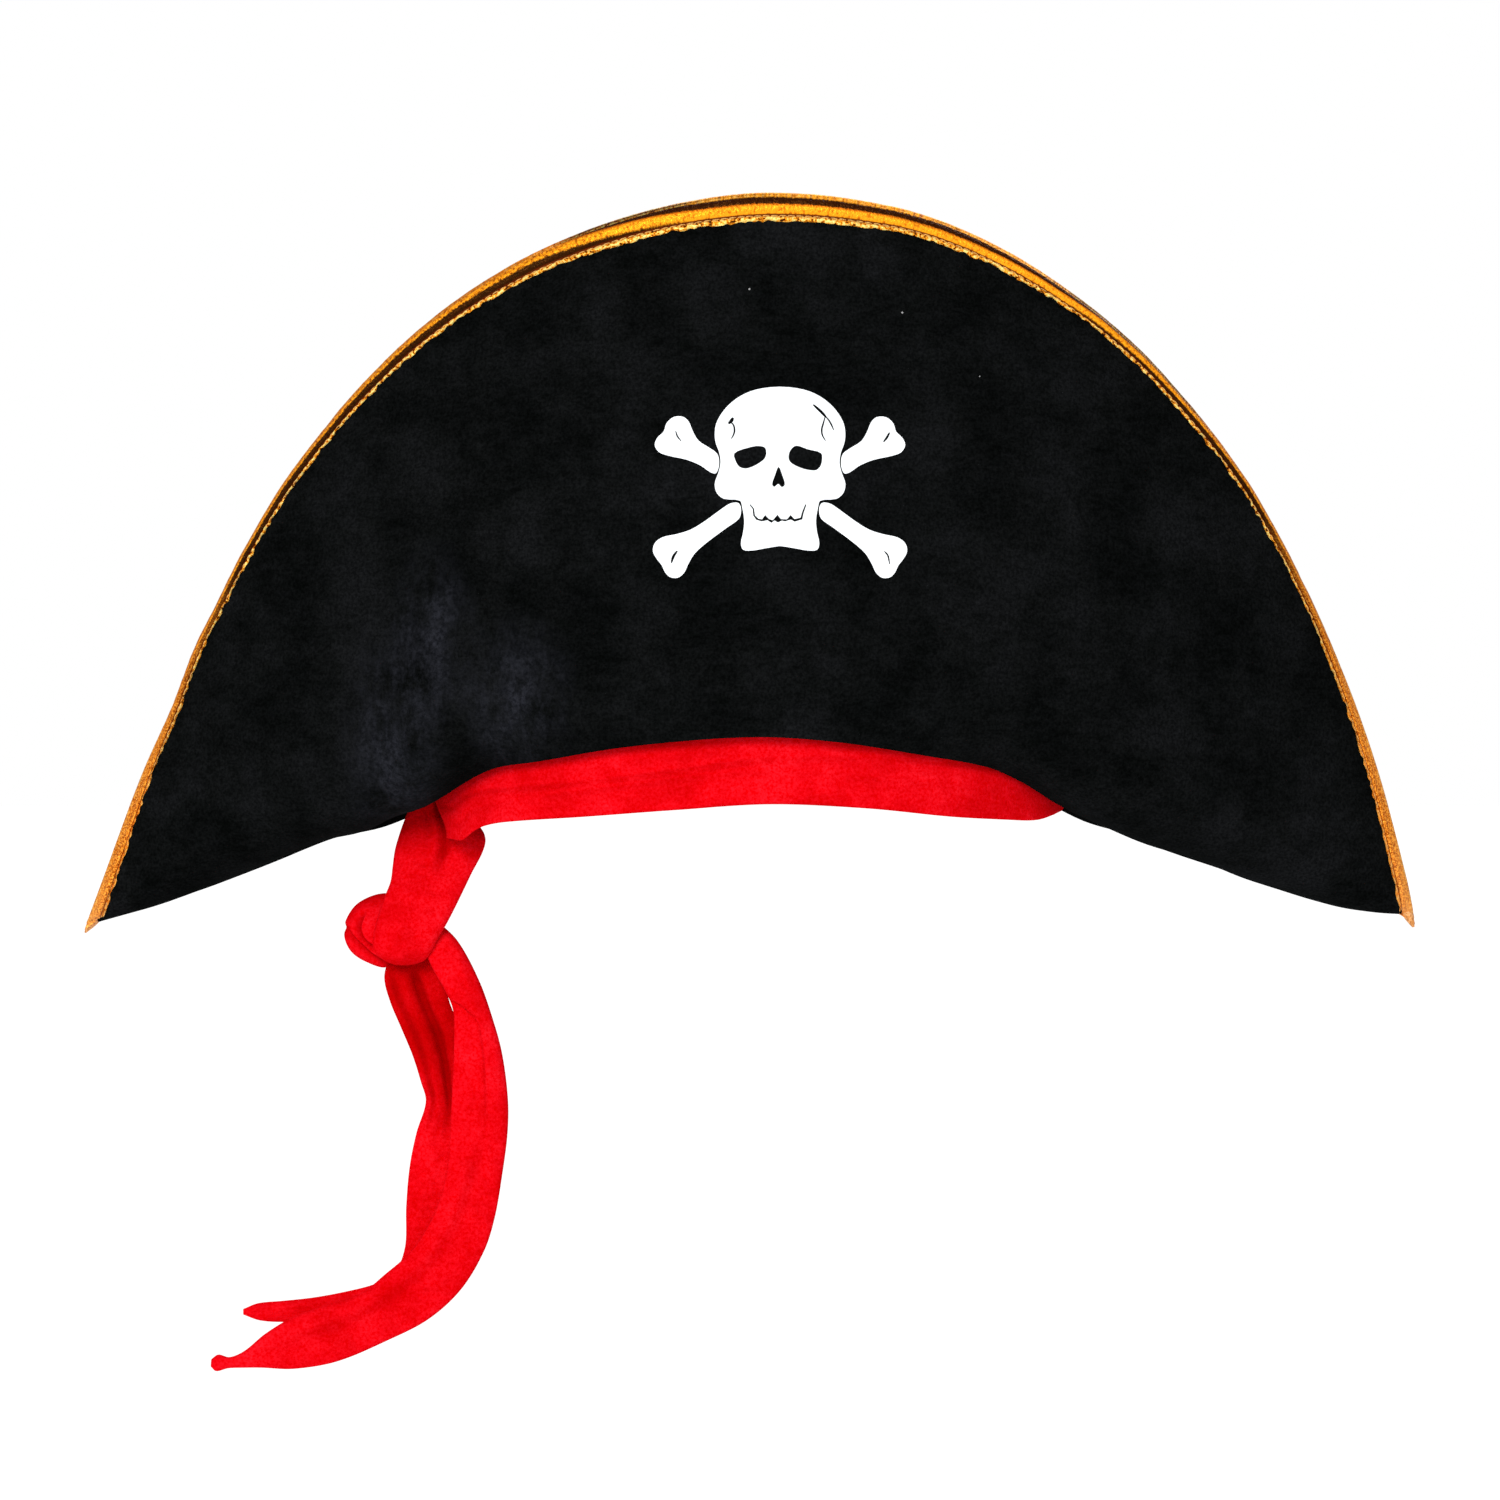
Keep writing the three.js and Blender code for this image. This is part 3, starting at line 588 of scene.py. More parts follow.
def build_lining(cloth):
    angle = around_circle(160)
    pleat = 0.25 * np.sin(angle * 24)

    def row(share, out):
        return cap_row(angle, share, out + pleat * share, 6)

    offsets = (LINING_AT + LINING_T, LINING_AT)
    wall = layered_shell("crown_lining_wall", row, np.linspace(0, 1, 40), offsets, cloth, ring=True)
    on_hat(wall, "black_lining", "lining_wall")


def build_sweatband(cloth):
    angle = around_circle(200)

    def row(share, out):
        rolled = 0.5 * (1 - puff(share, 0.12))
        x, y = oval(angle, out - rolled if out > 0 else 0.4 * rolled)
        return np.stack([x, y, band_low(angle) + 3 + SWEATBAND_H * share], axis=-1)

    band = layered_shell("sweatband_cloth", row, np.linspace(0, 1, 14), (SWEATBAND_T, 0.0), cloth, ring=True)
    on_hat(band, "black_lining", "sweatband")


# ---- Headband ----

BAND_A, BAND_B, BAND_T = 112.2, 76.3, 2.8
BAND_SHOWN = 26.0  # the height over which its creases are spread
BAND_LOW_FRONT = [
    (-113, -7.2), (-106.5, -8.2), (-103, -8.4), (-99, -5.6), (-94, -3.4), (-85, -1.9), (-57, 0),
    (-25, 2.4), (7, 4.4), (39, 3), (71, 0), (92, -1.2), (102, -1.5), (107, -0.4), (111, 2.4),
]


def band_folds(x, t):
    """Long creases of the headband, in millimetres outwards. t is 0 at its lower edge."""
    creases = [(0.56, 1.1), (0.36, 0.5)]
    total = 0.35 * soft_noise(x, t * 40, 11, 41)
    fading = 1 - 0.75 * smooth((np.abs(x + 55) - 25) / 60)
    for k, (height, depth) in enumerate(creases):
        middle = height + 0.06 * np.sin(x / 37 + k * 2) + 0.0011 * x
        fold = 0.4 * bump_at(t, middle + 0.09, 0.07) - depth * bump_at(t, middle, 0.04)
        total = total + fold * fading
    return total


def band_end(height):
    """How far left the front length reaches at each height: its end is folded on a slant."""
    return -111.6 + 5.4 * smooth((9 - height) / 16)


def front_band_row(t, off):
    """A row of the front length, at a share t of its height, and how deep in a fold each point is."""
    columns = np.linspace(0, 1, 260)
    low = curve_through(BAND_LOW_FRONT)(-109 + 219 * columns)
    z = low + (HEADBAND_TOP - low) * t
    start = band_end(z)
    finish = 110.6 - 4.0 * (1 - smooth((z + 1.5) / 5))
    x = start + (finish - start) * columns
    thinned = 1 - puff(t, 0.035) * puff(columns, 0.008)
    folds = band_folds(x, np.clip((z - low) / BAND_SHOWN, 0, 1))
    b = BAND_B - off + (folds - thinned if off == 0 else thinned)
    y = -b * np.sqrt(np.clip(1 - (x / (BAND_A - off * 1.25)) ** 2, 0, None))
    return np.stack([x, y, z], axis=-1), np.clip(-0.4 * folds, 0, 1)


def back_band_row(t, off):
    angle = np.linspace(0.01, math.pi - 0.01, 200)
    low = band_low(angle) + 3.6 * bump_at(angle, 0, 0.14)
    z = low + (HEADBAND_TOP - low) * t
    thinned = 1 - puff(t, 0.035)
    folds = band_folds(110 * np.cos(angle), np.clip((z - low) / BAND_SHOWN, 0, 1))
    lift = folds - thinned if off == 0 else thinned
    a, b = BAND_A - 1 - off + lift, BAND_B - off + lift
    return np.stack([a * np.cos(angle), b * np.sin(angle), z], axis=-1)


def build_headband(velvet):
    shares = np.linspace(0, 1, 60)
    outer, hollow = (np.stack(part) for part in zip(*(front_band_row(t, 0.0) for t in shares)))
    inner = np.stack([front_band_row(t, BAND_T)[0] for t in shares])
    front = shell_mesh("headband_front_velvet", outer, inner, velvet, hollow=hollow)
    back = layered_shell("headband_back_velvet", back_band_row, shares, (0.0, BAND_T), velvet)
    for place, band in (("front", front), ("back", back)):
        on_hat(band, "red_velvet", f"headband_{place}")


# ---- Sash ----

# Each strip is a run of stations: left x, left z, right x, right z, y of its middle, thickness.
DROP = [
    (-119, 10, -104, 10, -10, 3), (-120, 3, -103, 2, -10.5, 4), (-122.8, -5, -95.5, -3.5, -12, 6),
    (-124.8, -12, -93, -8, -13.5, 7), (-125.6, -18, -94, -13, -14.5, 7.5),
    (-126.2, -23, -97.6, -20, -16, 7.5), (-128, -28, -101.4, -28, -17.5, 7.5),
    (-130.2, -34.5, -104.6, -34.5, -18, 8), (-132, -41, -107.3, -39.5, -18, 8.5),
    (-132.2, -47, -110, -44, -17, 8.5), (-129, -50.6, -112, -48, -15.5, 7.5),
    (-124.5, -52.6, -115, -51.4, -13, 5), (-121.5, -52.8, -118, -52.4, -11.5, 2),
]
FRONT_TAIL = [
    (-116, -43, -110, -37, -12, 3), (-112.5, -52, -102.5, -44.5, -13, 4.5),
    (-107, -62, -95, -58.5, -14, 5), (-104.3, -69, -90.2, -72, -14.5, 5), (-104, -82, -87, -84, -15, 5),
    (-104.8, -100, -85, -100, -15, 5.5), (-105.4, -112, -85.2, -112, -15, 5.5),
    (-106.3, -123, -87, -126, -15, 5.5), (-109, -135, -89.6, -141, -15, 5.5),
    (-113, -144, -93.4, -153, -15, 5.5), (-119.5, -153.5, -101.5, -166.5, -15, 5.5),
    (-128, -161, -113, -177, -15, 6), (-137, -168, -127.5, -184.5, -15, 6.5),
    (-151, -172.6, -145, -191.8, -15, 6.5), (-161, -176.4, -160, -194.4, -15, 6),
    (-170.5, -182.2, -171.5, -194, -15, 5.5), (-177.5, -188, -178.4, -194, -15, 4.5),
    (-182.8, -190.3, -183.4, -194.2, -15, 3.6), (-187, -189.4, -187.6, -195.2, -15, 4.6),
    (-189.2, -191, -189.4, -193.6, -15, 2.5),
]
REAR_TAIL = [
    (-127, -49, -112, -47, -5, 3), (-129, -57, -108.9, -56, -5.5, 4.5), (-127, -65.5, -105.9, -66, -6, 5),
    (-123, -75, -102.4, -76, -6.5, 5.5), (-119, -84.5, -101.5, -86, -7, 5.5),
    (-116, -94, -101, -96, -7, 5), (-114.3, -101, -101, -103, -7, 4.5), (-117.6, -112, -101, -113, -7, 5),
    (-120, -124, -101, -124, -7, 5), (-121.2, -138, -102, -137, -7, 5.5),
    (-121.6, -152, -104.5, -149, -7, 5.5), (-125.5, -161.5, -112.5, -161.5, -7, 5),
    (-132.5, -165.3, -124, -170.8, -7, 4.5), (-143, -168, -138.5, -175.8, -7, 4.5),
    (-154, -170, -152.5, -178, -7, 4.5), (-165, -171.2, -165, -178.6, -7, 4.2),
    (-173.4, -172, -173, -178, -7, 3.4), (-178.6, -174, -178.6, -176, -7, 1.8),
]


def strip_grid(stations, steps, around, front_folds, seed):
    """Sections of a soft strip between two edges, how deep in a fold each point is, and its length.

    front_folds(u, v) stands out towards the front."""
    data = np.array(stations, float)
    chord = np.hypot(*np.diff((data[:, 0:2] + data[:, 2:4]) / 2, axis=0).T)
    at = np.concatenate([[0], np.cumsum(chord)])
    u = np.linspace(0, at[-1], steps)
    left_x, left_z, right_x, right_z, mid_y, thick = through_stations(at, stations, u)
    sections, hollow = [], []
    for k in range(around):
        angle = 2 * math.pi * k / around
        v = 0.5 - 0.5 * math.cos(angle)
        rise = abs(math.sin(angle)) ** 0.62
        front = math.sin(angle) >= 0
        soft = 0.35 * soft_noise(u, v * 20, 7, seed) + 0.2 * soft_noise(u, v * 30, 2.6, seed + 1)
        fold = front_folds(u, v) if front else 0.4 * front_folds(u, 1 - v)
        out = rise * (thick / 2 + soft + fold)
        y = mid_y - out if front else mid_y + out
        x = left_x + (right_x - left_x) * v
        z = left_z + (right_z - left_z) * v
        sections.append(np.stack([x, y, z], axis=-1))
        hollow.append(np.clip(-fold / 2, 0, 1) * rise)
    return np.stack(sections, axis=1), np.stack(hollow, axis=1), at[-1]


def crease(v, middle, width):
    """A soft valley across a strip, at a share of its width."""
    return -bump_at(v, middle, width)


def drop_folds(u, v):
    gather = smooth((34 - u) / 14)
    lobe = 2.7 * crease(v, 0.60 - 0.002 * u, 0.06) * gather + 1.0 * bump_at(v, 0.78, 0.12) * gather
    wrap = 0.8 * bump_at(v, 0.3, 0.2) * smooth((u - 20) / 20)
    return lobe + wrap + 0.5 * crease(v, 0.36, 0.05) * bump_at(u, 12, 14)


# Where the upper part of the front tail ends over the lower: (distance down it, share of its width).
LAP_EDGE = [(0, -0.4), (26, -0.15), (29, 0.12), (33, 0.44), (36, 0.6), (43, 0.63), (60, 0.62), (100, 0.6)]


def front_tail_folds(u, v):
    edge = curve_through(LAP_EDGE)(u)
    fading = 1 - smooth((u - 50) / 45)
    lap = 1.5 * smooth((v - edge) / 0.04 + 0.5) - 0.7 * bump_at(v, edge - 0.03, 0.03)
    lower = smooth((u - 70) / 25) * (1 - smooth((u - 170) / 30))
    return lap * fading + 0.6 * crease(v, 0.45 + 0.12 * np.sin(u / 30), 0.11) * lower


def rear_tail_folds(u, v):
    upper = smooth((u - 4) / 8) * (1 - smooth((u - 50) / 20))
    deep = 2.6 * crease(v, 0.52 + 0.003 * np.minimum(u, 40), 0.09)
    shallow = 1.3 * crease(v, 0.1 + 0.004 * np.minimum(u, 30), 0.06)
    ridge = 0.8 * bump_at(v, 0.36, 0.1)
    return (deep + shallow + ridge) * upper + 0.9 * crease(v, 0.4, 0.15) * bump_at(u, 58, 9)


def build_drop(velvet):
    grid, hollow, length = strip_grid(DROP, 110, 56, drop_folds, 51)
    drop = tube_mesh("sash_drop_velvet", grid, velvet, hollow)
    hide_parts("sash_drop")
    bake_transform(drop)


def build_tail(place, stations, folds, seed, velvet):
    """A tail of the sash."""
    grid, hollow, length = strip_grid(stations, 260, 64, folds, seed)
    tail = tube_mesh(f"sash_{place}_tail_velvet", grid, velvet, hollow)
    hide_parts(f"sash_tail_{place}")
    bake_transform(tail)


KNOT_GROOVE = 0.26


def knot_grooves(reach, angle):
    """Depth of the grooves between the turns of cloth, as a share of the knot's size."""
    outer = bump_at(reach, 0.75 + 0.26 * (angle - 3.96) ** 2, 0.06)
    outer_length = smooth((angle - 2.9) / 0.4) * (1 - smooth((angle - 4.9) / 0.4))
    inner = bump_at(reach, 0.63 - 0.1 * (angle - 3.33), 0.06)
    inner_length = smooth((angle - 2.2) / 0.5) * (1 - smooth((angle - 4.2) / 0.3))
    return KNOT_GROOVE * outer * outer_length + 0.24 * inner * inner_length


def build_knot(velvet):
    """The loop at the left of the knot: turns of cloth seen from their side."""
    centre, size = np.array([-128.4, -6, -40.6]), np.array([14.6, 8.5, 13])
    steps, around = 90, 120
    angle = around_circle(around)
    rows, hollow = [], []
    for t in np.linspace(0, math.pi, steps):
        reach = math.sin(t)
        x, z = reach * np.cos(angle), reach * np.sin(angle)
        unit = np.stack([x, np.full_like(x, -math.cos(t)), z], axis=-1)
        soft = 0.03 * soft_noise(x, z, 0.5, 61)
        grooves = knot_grooves(reach, angle)
        rows.append(centre + unit * size * (1 + soft - grooves)[:, None])
        hollow.append(grooves / KNOT_GROOVE)
    faces, depths = grid_faces(steps, around, ring=True), fold_uv(np.stack(hollow))
    knot = face_out(new_mesh("sash_knot_velvet", np.stack(rows), faces, velvet, depths))
    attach(knot, "sash")
    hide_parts("sash_knot")


def build_sash_tab(velvet):
    """The end of the sash that is sewn in between the headband and the brim."""
    low, high = (np.array(c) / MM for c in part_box("sash_tab"))
    around = around_circle(24)
    middle, half = (low + high) / 2, (high - low) / 2
    rows = []
    for share in np.linspace(0, 1, 24):
        z = low[2] + (high[2] - low[2]) * share
        narrow = 1 - 0.25 * share + 0.04 * math.sin(share * 20)
        x = middle[0] + half[0] * np.cos(around)
        y = middle[1] + half[1] * narrow * np.sin(around)
        rows.append(np.stack([x, y, np.full_like(x, z)], axis=-1))
    tab = tube_mesh("sash_tab_velvet", np.stack(rows), velvet)
    on_hat(tab, "red_velvet", "sash_tab")


# ---- Print ----

PRINT_CENTRE = (10.3, 114.7)

# Thin dark strokes of the print: (x, z) from its centre, and the width at the thickest.
STROKES = [
    ([(-16.1, 22.3), (-16.7, 21.2), (-17.7, 20.2)], 1.2),
    ([(-17, 20.7), (-16, 19.8), (-15.6, 18), (-15.9, 16.5), (-16.7, 15)], 0.6),
    ([(11.4, 26.8), (13.2, 25.2), (15, 23.4), (15.8, 22.4)], 0.95),
    ([(15.2, 23.2), (16.7, 21.5), (17.7, 19.7), (18.4, 18)], 0.55),
    ([(15.5, 22.8), (14.8, 20.2), (14.3, 18.3), (14.5, 16.3), (15.6, 14.3)], 0.6),
    ([(-35.8, 17.7), (-35.2, 15.9), (-33.9, 14.2)], 0.5),
    ([(37.6, 17.3), (36.7, 15.6), (35.5, 14)], 0.75),
    ([(-35.2, -23.6), (-36.5, -25.5), (-37.2, -27.7)], 0.9),
    ([(35.7, -23.7), (36.9, -25.2), (37.5, -28.1)], 0.55),
]
STROKE_STEPS = 14


def lay_on(wing, obj, lift):
    """Moves each point of a flat piece onto the wing, standing a little off it."""
    mesh = obj.data
    co = np.empty(len(mesh.vertices) * 3)
    mesh.vertices.foreach_get("co", co)
    co = co.reshape(-1, 3) / MM
    placed = wing.on_face(co[:, 0], co[:, 2], -lift)
    placed[:, 0], placed[:, 2] = co[:, 0], co[:, 2]
    mesh.vertices.foreach_set("co", (placed * MM).ravel())
    mesh.update()


def film_from(print_node, material, wing):
    """The front face of a CAD print, cut fine and laid on the cover."""
    bm = bmesh.new()
    bm.from_mesh(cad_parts[print_node].data)
    bmesh.ops.remove_doubles(bm, verts=bm.verts, dist=1e-6)
    bmesh.ops.delete(bm, geom=[f for f in bm.faces if f.normal.y > -0.6], context="FACES")
    for _ in range(4):
        long_edges = [e for e in bm.edges if e.calc_length() > 0.0022]
        bmesh.ops.subdivide_edges(bm, edges=long_edges, cuts=1)
        bmesh.ops.triangulate(bm, faces=bm.faces)
    mesh = bpy.data.meshes.new(f"{print_node}_film")
    bm.to_mesh(mesh)
    bm.free()
    mesh.materials.clear()
    mesh.materials.append(material)
    mesh.shade_smooth()
    obj = bpy.data.objects.new(mesh.name, mesh)
    bpy.context.scene.collection.objects.link(obj)
    lay_on(wing, obj, 0.3)
    on_hat(obj, "white_print", print_node)


def build_strokes(wing, ink):
    """The print's thin strokes: flat ribbons in the colour of the cloth, thin at both ends."""
    points, faces = [], []
    for places, width in STROKES:
        last = len(places) - 1
        x, z = through_stations(np.arange(last + 1), places, np.linspace(0, last, STROKE_STEPS))
        dx, dz = np.gradient(x), np.gradient(z)
        size = np.hypot(dx, dz)
        half = 0.5 * width * np.sin(np.linspace(0.12, 0.9, STROKE_STEPS) * math.pi) ** 0.7
        first = len(points)
        for sign in (-1, 1):
            px = PRINT_CENTRE[0] + x - sign * half * dz / size
            pz = PRINT_CENTRE[1] + z + sign * half * dx / size
            points += list(np.stack([px, np.zeros_like(px), pz], axis=-1))
        faces += grid_faces(2, STROKE_STEPS, first=first)
    strokes = new_mesh("print_strokes", points, faces, ink)
    lay_on(wing, strokes, 0.42)
    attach(strokes, "hat")


# ---- Materials ----

def shader(name):
    material = bpy.data.materials.new(name)
    material.use_nodes = True
    return material, material.node_tree, material.node_tree.nodes["Principled BSDF"]


def node(tree, kind, **values):
    made = tree.nodes.new(kind)
    for key, value in values.items():
        if hasattr(made, key):
            setattr(made, key, value)
        else:
            made.inputs[key.replace("_", " ")].default_value = value
    return made


def set_inputs(shade, **values):
    for key, value in values.items():
        shade.inputs[key.replace("_", " ")].default_value = value


def paint(tree, shade, colour):
    tree.links.new(colour, shade.inputs["Base Color"])


def ramp(tree, source, stops):
    """The colours at (place, colour) stops, or greys where a stop gives one number."""
    made = tree.nodes.new("ShaderNodeValToRGB")
    elements = made.color_ramp.elements
    while len(elements) < len(stops):
        elements.new(0.5)
    for element, (place, colour) in zip(elements, stops):
        element.position = place
        element.color = (*colour, 1) if isinstance(colour, tuple) else (colour, colour, colour, 1)
    tree.links.new(source, made.inputs["Fac"])
    return made.outputs["Color"]


def noise(tree, vector, scale, detail=3.0, roughness=0.55):
    made = node(tree, "ShaderNodeTexNoise", Scale=scale, Detail=detail, Roughness=roughness)
    tree.links.new(vector, made.inputs["Vector"])
    return made.outputs["Fac"]


def stretched(tree, source, scale):
    made = node(tree, "ShaderNodeMapping")
    made.inputs["Scale"].default_value = scale
    tree.links.new(source, made.inputs["Vector"])
    return made.outputs["Vector"]


def mixed(tree, factor, a, b, kind="MIX"):
    made = node(tree, "ShaderNodeMix", data_type="RGBA", blend_type=kind)
    if isinstance(factor, float):
        made.inputs[0].default_value = factor
    else:
        tree.links.new(factor, made.inputs[0])
    for socket, value in ((made.inputs[6], a), (made.inputs[7], b)):
        if isinstance(value, tuple):
            socket.default_value = (*value, 1)
        else:
            tree.links.new(value, socket)
    return made.outputs[2]


def add_bump(tree, shade, heights):
    """Bump from (height output, distance in metres) pairs, one after another."""
    last = None
    for height, distance in heights:
        made = node(tree, "ShaderNodeBump", Strength=1.0, Distance=distance)
        tree.links.new(height, made.inputs["Height"])
        if last is not None:
            tree.links.new(last, made.inputs["Normal"])
        last = made.outputs["Normal"]
    tree.links.new(last, shade.inputs["Normal"])


def object_place(tree):
    return node(tree, "ShaderNodeTexCoord").outputs["Object"]


def cloth_uv(tree):
    return node(tree, "ShaderNodeUVMap", uv_map="cloth").outputs["UV"]


def axis_of(tree, vector, axis):
    made = node(tree, "ShaderNodeSeparateXYZ")
    tree.links.new(vector, made.inputs["Vector"])
    return made.outputs[axis]


def math_node(tree, operation, a, b):
    made = node(tree, "ShaderNodeMath", operation=operation)
    for socket, value in zip(made.inputs, (a, b)):
        if isinstance(value, float):
            socket.default_value = value
        else:
            tree.links.new(value, socket)
    return made.outputs["Value"]


def velvet_material(name, tones, grain, patch_size, sheen, sheen_tint, bumps):
    """Velvet: pile that lies in patches, some dark and some catching the light.

    tones are the colours of dark, middle and bright pile, grain the two colours that its fine specks
    multiply them by, and bumps the heights in metres of the patches, the streaks and the pile. The
    colour is returned, not yet linked, so that each velvet can add its own marks."""
    material, tree, shade = shader(name)
    place = object_place(tree)
    dark, light, bright = tones
    patches = noise(tree, place, 1 / patch_size, 5.0, 0.62)
    streaks = noise(tree, stretched(tree, place, (150, 150, 380)), 1.0, 3.0, 0.65)
    pile = noise(tree, place, 1000, 1.5, 0.75)
    nap = ramp(tree, patches, [(0.40, dark), (0.52, light), (0.66, bright)])
    nap = mixed(tree, 0.3, nap, ramp(tree, streaks, [(0.35, dark), (0.65, bright)]))
    set_inputs(shade, Roughness=0.95, Specular_IOR_Level=0.0)
    set_inputs(shade, Sheen_Weight=sheen, Sheen_Roughness=0.4, Sheen_Tint=(*sheen_tint, 1))
    add_bump(tree, shade, zip((patches, streaks, pile), bumps))
    specks = ramp(tree, pile, [(0.36, grain[0]), (0.68, grain[1])])
    return material, tree, shade, mixed(tree, 1.0, nap, specks, "MULTIPLY")


def painted_sheen_patch(tree, place, centre, size):
    """A soft-edged place, 1 in its middle, broken up so that it has no outline."""
    made = node(tree, "ShaderNodeMapping", vector_type="POINT")
    made.inputs["Scale"].default_value = tuple(1 / s for s in size)
    made.inputs["Location"].default_value = tuple(-c / s for c, s in zip(centre, size))
    tree.links.new(place, made.inputs["Vector"])
    ball = node(tree, "ShaderNodeTexGradient", gradient_type="SPHERICAL")
    tree.links.new(made.outputs["Vector"], ball.inputs["Vector"])
    torn = noise(tree, stretched(tree, place, (115, 90, 60)), 1.0, 6.0, 0.75)
    torn = ramp(tree, torn, [(0.38, 0), (0.62, 1)])
    return math_node(tree, "MULTIPLY", ball.outputs["Fac"], torn)


# Pale patches of painted sheen on the black velvet: a place and its half-lengths, in metres.
PAINTED_SHEEN_PATCHES = [
    ((-0.123, -0.055, 0.024), (0.021, 0.06, 0.052)),
    ((-0.109, -0.060, 0.062), (0.017, 0.06, 0.036)),
    ((-0.080, -0.070, 0.040), (0.024, 0.05, 0.032)),
    ((0.130, 0.060, 0.060), (0.060, 0.06, 0.070)),
    ((-0.060, 0.070, 0.110), (0.080, 0.06, 0.060)),
]


def black_velvet():
    tones = (0.0017, 0.0020, 0.0019), (0.0036, 0.0040, 0.0040), (0.0064, 0.0068, 0.0074)
    material, tree, shade, colour = velvet_material(
        "black_velvet", tones, ((0.6,) * 3, (1.4,) * 3), patch_size=0.03,
        sheen=0.006, sheen_tint=(0.9, 0.95, 1.0), bumps=(0.0012, 0.0004, 0.00025),
    )
    place = object_place(tree)
    # Painted sheen: the velvet turns pale in soft patches at the listed places.
    fibres = noise(tree, place, 620, 2.0, 0.75)
    pale = ramp(tree, fibres, [(0.36, (0.0070, 0.0075, 0.0100)), (0.66, (0.0215, 0.0225, 0.0290))])
    for centre, size in PAINTED_SHEEN_PATCHES:
        colour = mixed(tree, painted_sheen_patch(tree, place, centre, size), colour, pale)
    specks = node(tree, "ShaderNodeTexVoronoi", Scale=85.0)
    tree.links.new(place, specks.inputs["Vector"])
    few = math_node(tree, "GREATER_THAN", specks.outputs["Color"], 0.80)
    tiny = math_node(tree, "LESS_THAN", specks.outputs["Distance"], 0.03)
    lint = math_node(tree, "MULTIPLY", few, tiny)
    paint(tree, shade, mixed(tree, lint, colour, (0.30, 0.30, 0.30)))
    return material


def red_velvet(name, painted_shade_above=1.0):
    """Red velvet with painted shade: darker in its folds, and darker above a height."""
    tones = (0.60, 0.0003, 0.0015), (0.70, 0.0008, 0.0034), (0.79, 0.0026, 0.0076)
    material, tree, shade, colour = velvet_material(
        name, tones, ((0.92, 0.2, 0.4), (1.07, 4.2, 3.0)), patch_size=0.02,
        sheen=0.012, sheen_tint=(1.0, 0.25, 0.25), bumps=(0.0006, 0.0002, 0.00014),
    )
    # Painted shade: darker above a height, under the parts that hang over it.
    above = math_node(tree, "SUBTRACT", axis_of(tree, object_place(tree), "Z"), painted_shade_above)
    above = math_node(tree, "MULTIPLY", above, 20.0)
    colour = mixed(tree, 1.0, colour, ramp(tree, above, [(0.0, 1), (0.6, (0.70, 0.3, 0.3))]), "MULTIPLY")
    # Painted shade: darker the deeper a point lies in a fold.
    fold = axis_of(tree, cloth_uv(tree), "Y")
    colour = mixed(tree, 1.0, colour, ramp(tree, fold, [(0.0, 1), (0.8, (0.62, 0.1, 0.2))]), "MULTIPLY")
    paint(tree, shade, colour)
    return material


def lining_cloth():
    """Plain woven lining: a fine square weave and long soft rubs."""
    material, tree, shade = shader("black_lining_cloth")
    place = object_place(tree)
    threads = []
    for direction in "XZ":
        wave = node(tree, "ShaderNodeTexWave", Scale=420.0, Distortion=0.6, bands_direction=direction)
        tree.links.new(place, wave.inputs["Vector"])
        threads.append((wave.outputs["Fac"], 0.0001))
    rubs = noise(tree, place, 30, 4.0)
    paint(tree, shade, ramp(tree, rubs, [(0.35, (0.006, 0.006, 0.007)), (0.7, (0.016, 0.016, 0.018))]))
    set_inputs(shade, Roughness=0.8, Specular_IOR_Level=0.25, Sheen_Weight=0.05)
    add_bump(tree, shade, [*threads, (rubs, 0.001)])
    return material


# Colours of the foil's painted reflections and glints, bright to dark, and the peach of its back.
GOLD_PAINTED_GLINT = (1.0, 0.76, 0.22)
GOLD_BRIGHT = (1.0, 0.37, 0.011)
GOLD_MID = (0.60, 0.15, 0.004)
GOLD_DARK = (0.030, 0.004, 0.0004)
GOLD_PEACH = (0.78, 0.34, 0.10)

# Painted reflections: the foil's bright and dark bands across the strip, at half of v.
PAINTED_FOIL_REFLECTIONS = [
    (0.12, GOLD_DARK), (0.26, GOLD_DARK), (0.305, GOLD_BRIGHT), (0.40, GOLD_BRIGHT), (0.44, GOLD_MID),
    (0.46, GOLD_DARK), (0.56, GOLD_DARK), (0.60, GOLD_BRIGHT), (0.8, GOLD_MID),
]


def along_x(tree, centre, scale, stops):
    """A value that changes with the distance from a place along the hat. Stops are at distance x scale."""
    away = math_node(tree, "SUBTRACT", axis_of(tree, object_place(tree), "X"), centre)
    away = math_node(tree, "ABSOLUTE", away, 0.0)
    return ramp(tree, math_node(tree, "MULTIPLY", away, scale), stops)


def painted_crease_shade(tree, hatch, top):
    """Painted shade in fine creases across the foil, strongest away from the middle of the hat."""
    fine = ramp(tree, hatch, [(0.36, (0.30, 0.16, 0.05)), (0.50, (0.78, 0.68, 0.6)), (0.60, 1)])
    faint = ramp(tree, hatch, [(0.38, (0.62, 0.42, 0.3)), (0.47, (0.95, 0.92, 0.9)), (0.60, 1)])
    return mixed(tree, top, fine, faint)


def painted_reflection_bands(tree, v, top, wander, hatch):
    """Painted reflections: the foil's bright and dark bands. They slide across the strip towards the middle
    of the hat, and waver.
    """
    shift = math_node(tree, "MULTIPLY", top, 0.32)
    for source, amount in ((wander, 0.24), (hatch, 0.14)):
        spread = math_node(tree, "MULTIPLY", math_node(tree, "SUBTRACT", source, 0.5), amount)
        shift = math_node(tree, "ADD", shift, spread)
    slid = math_node(tree, "MULTIPLY", math_node(tree, "ADD", v, shift), 0.5)
    return mixed(tree, 1.0, ramp(tree, slid, PAINTED_FOIL_REFLECTIONS), painted_crease_shade(tree, hatch, top), "MULTIPLY")


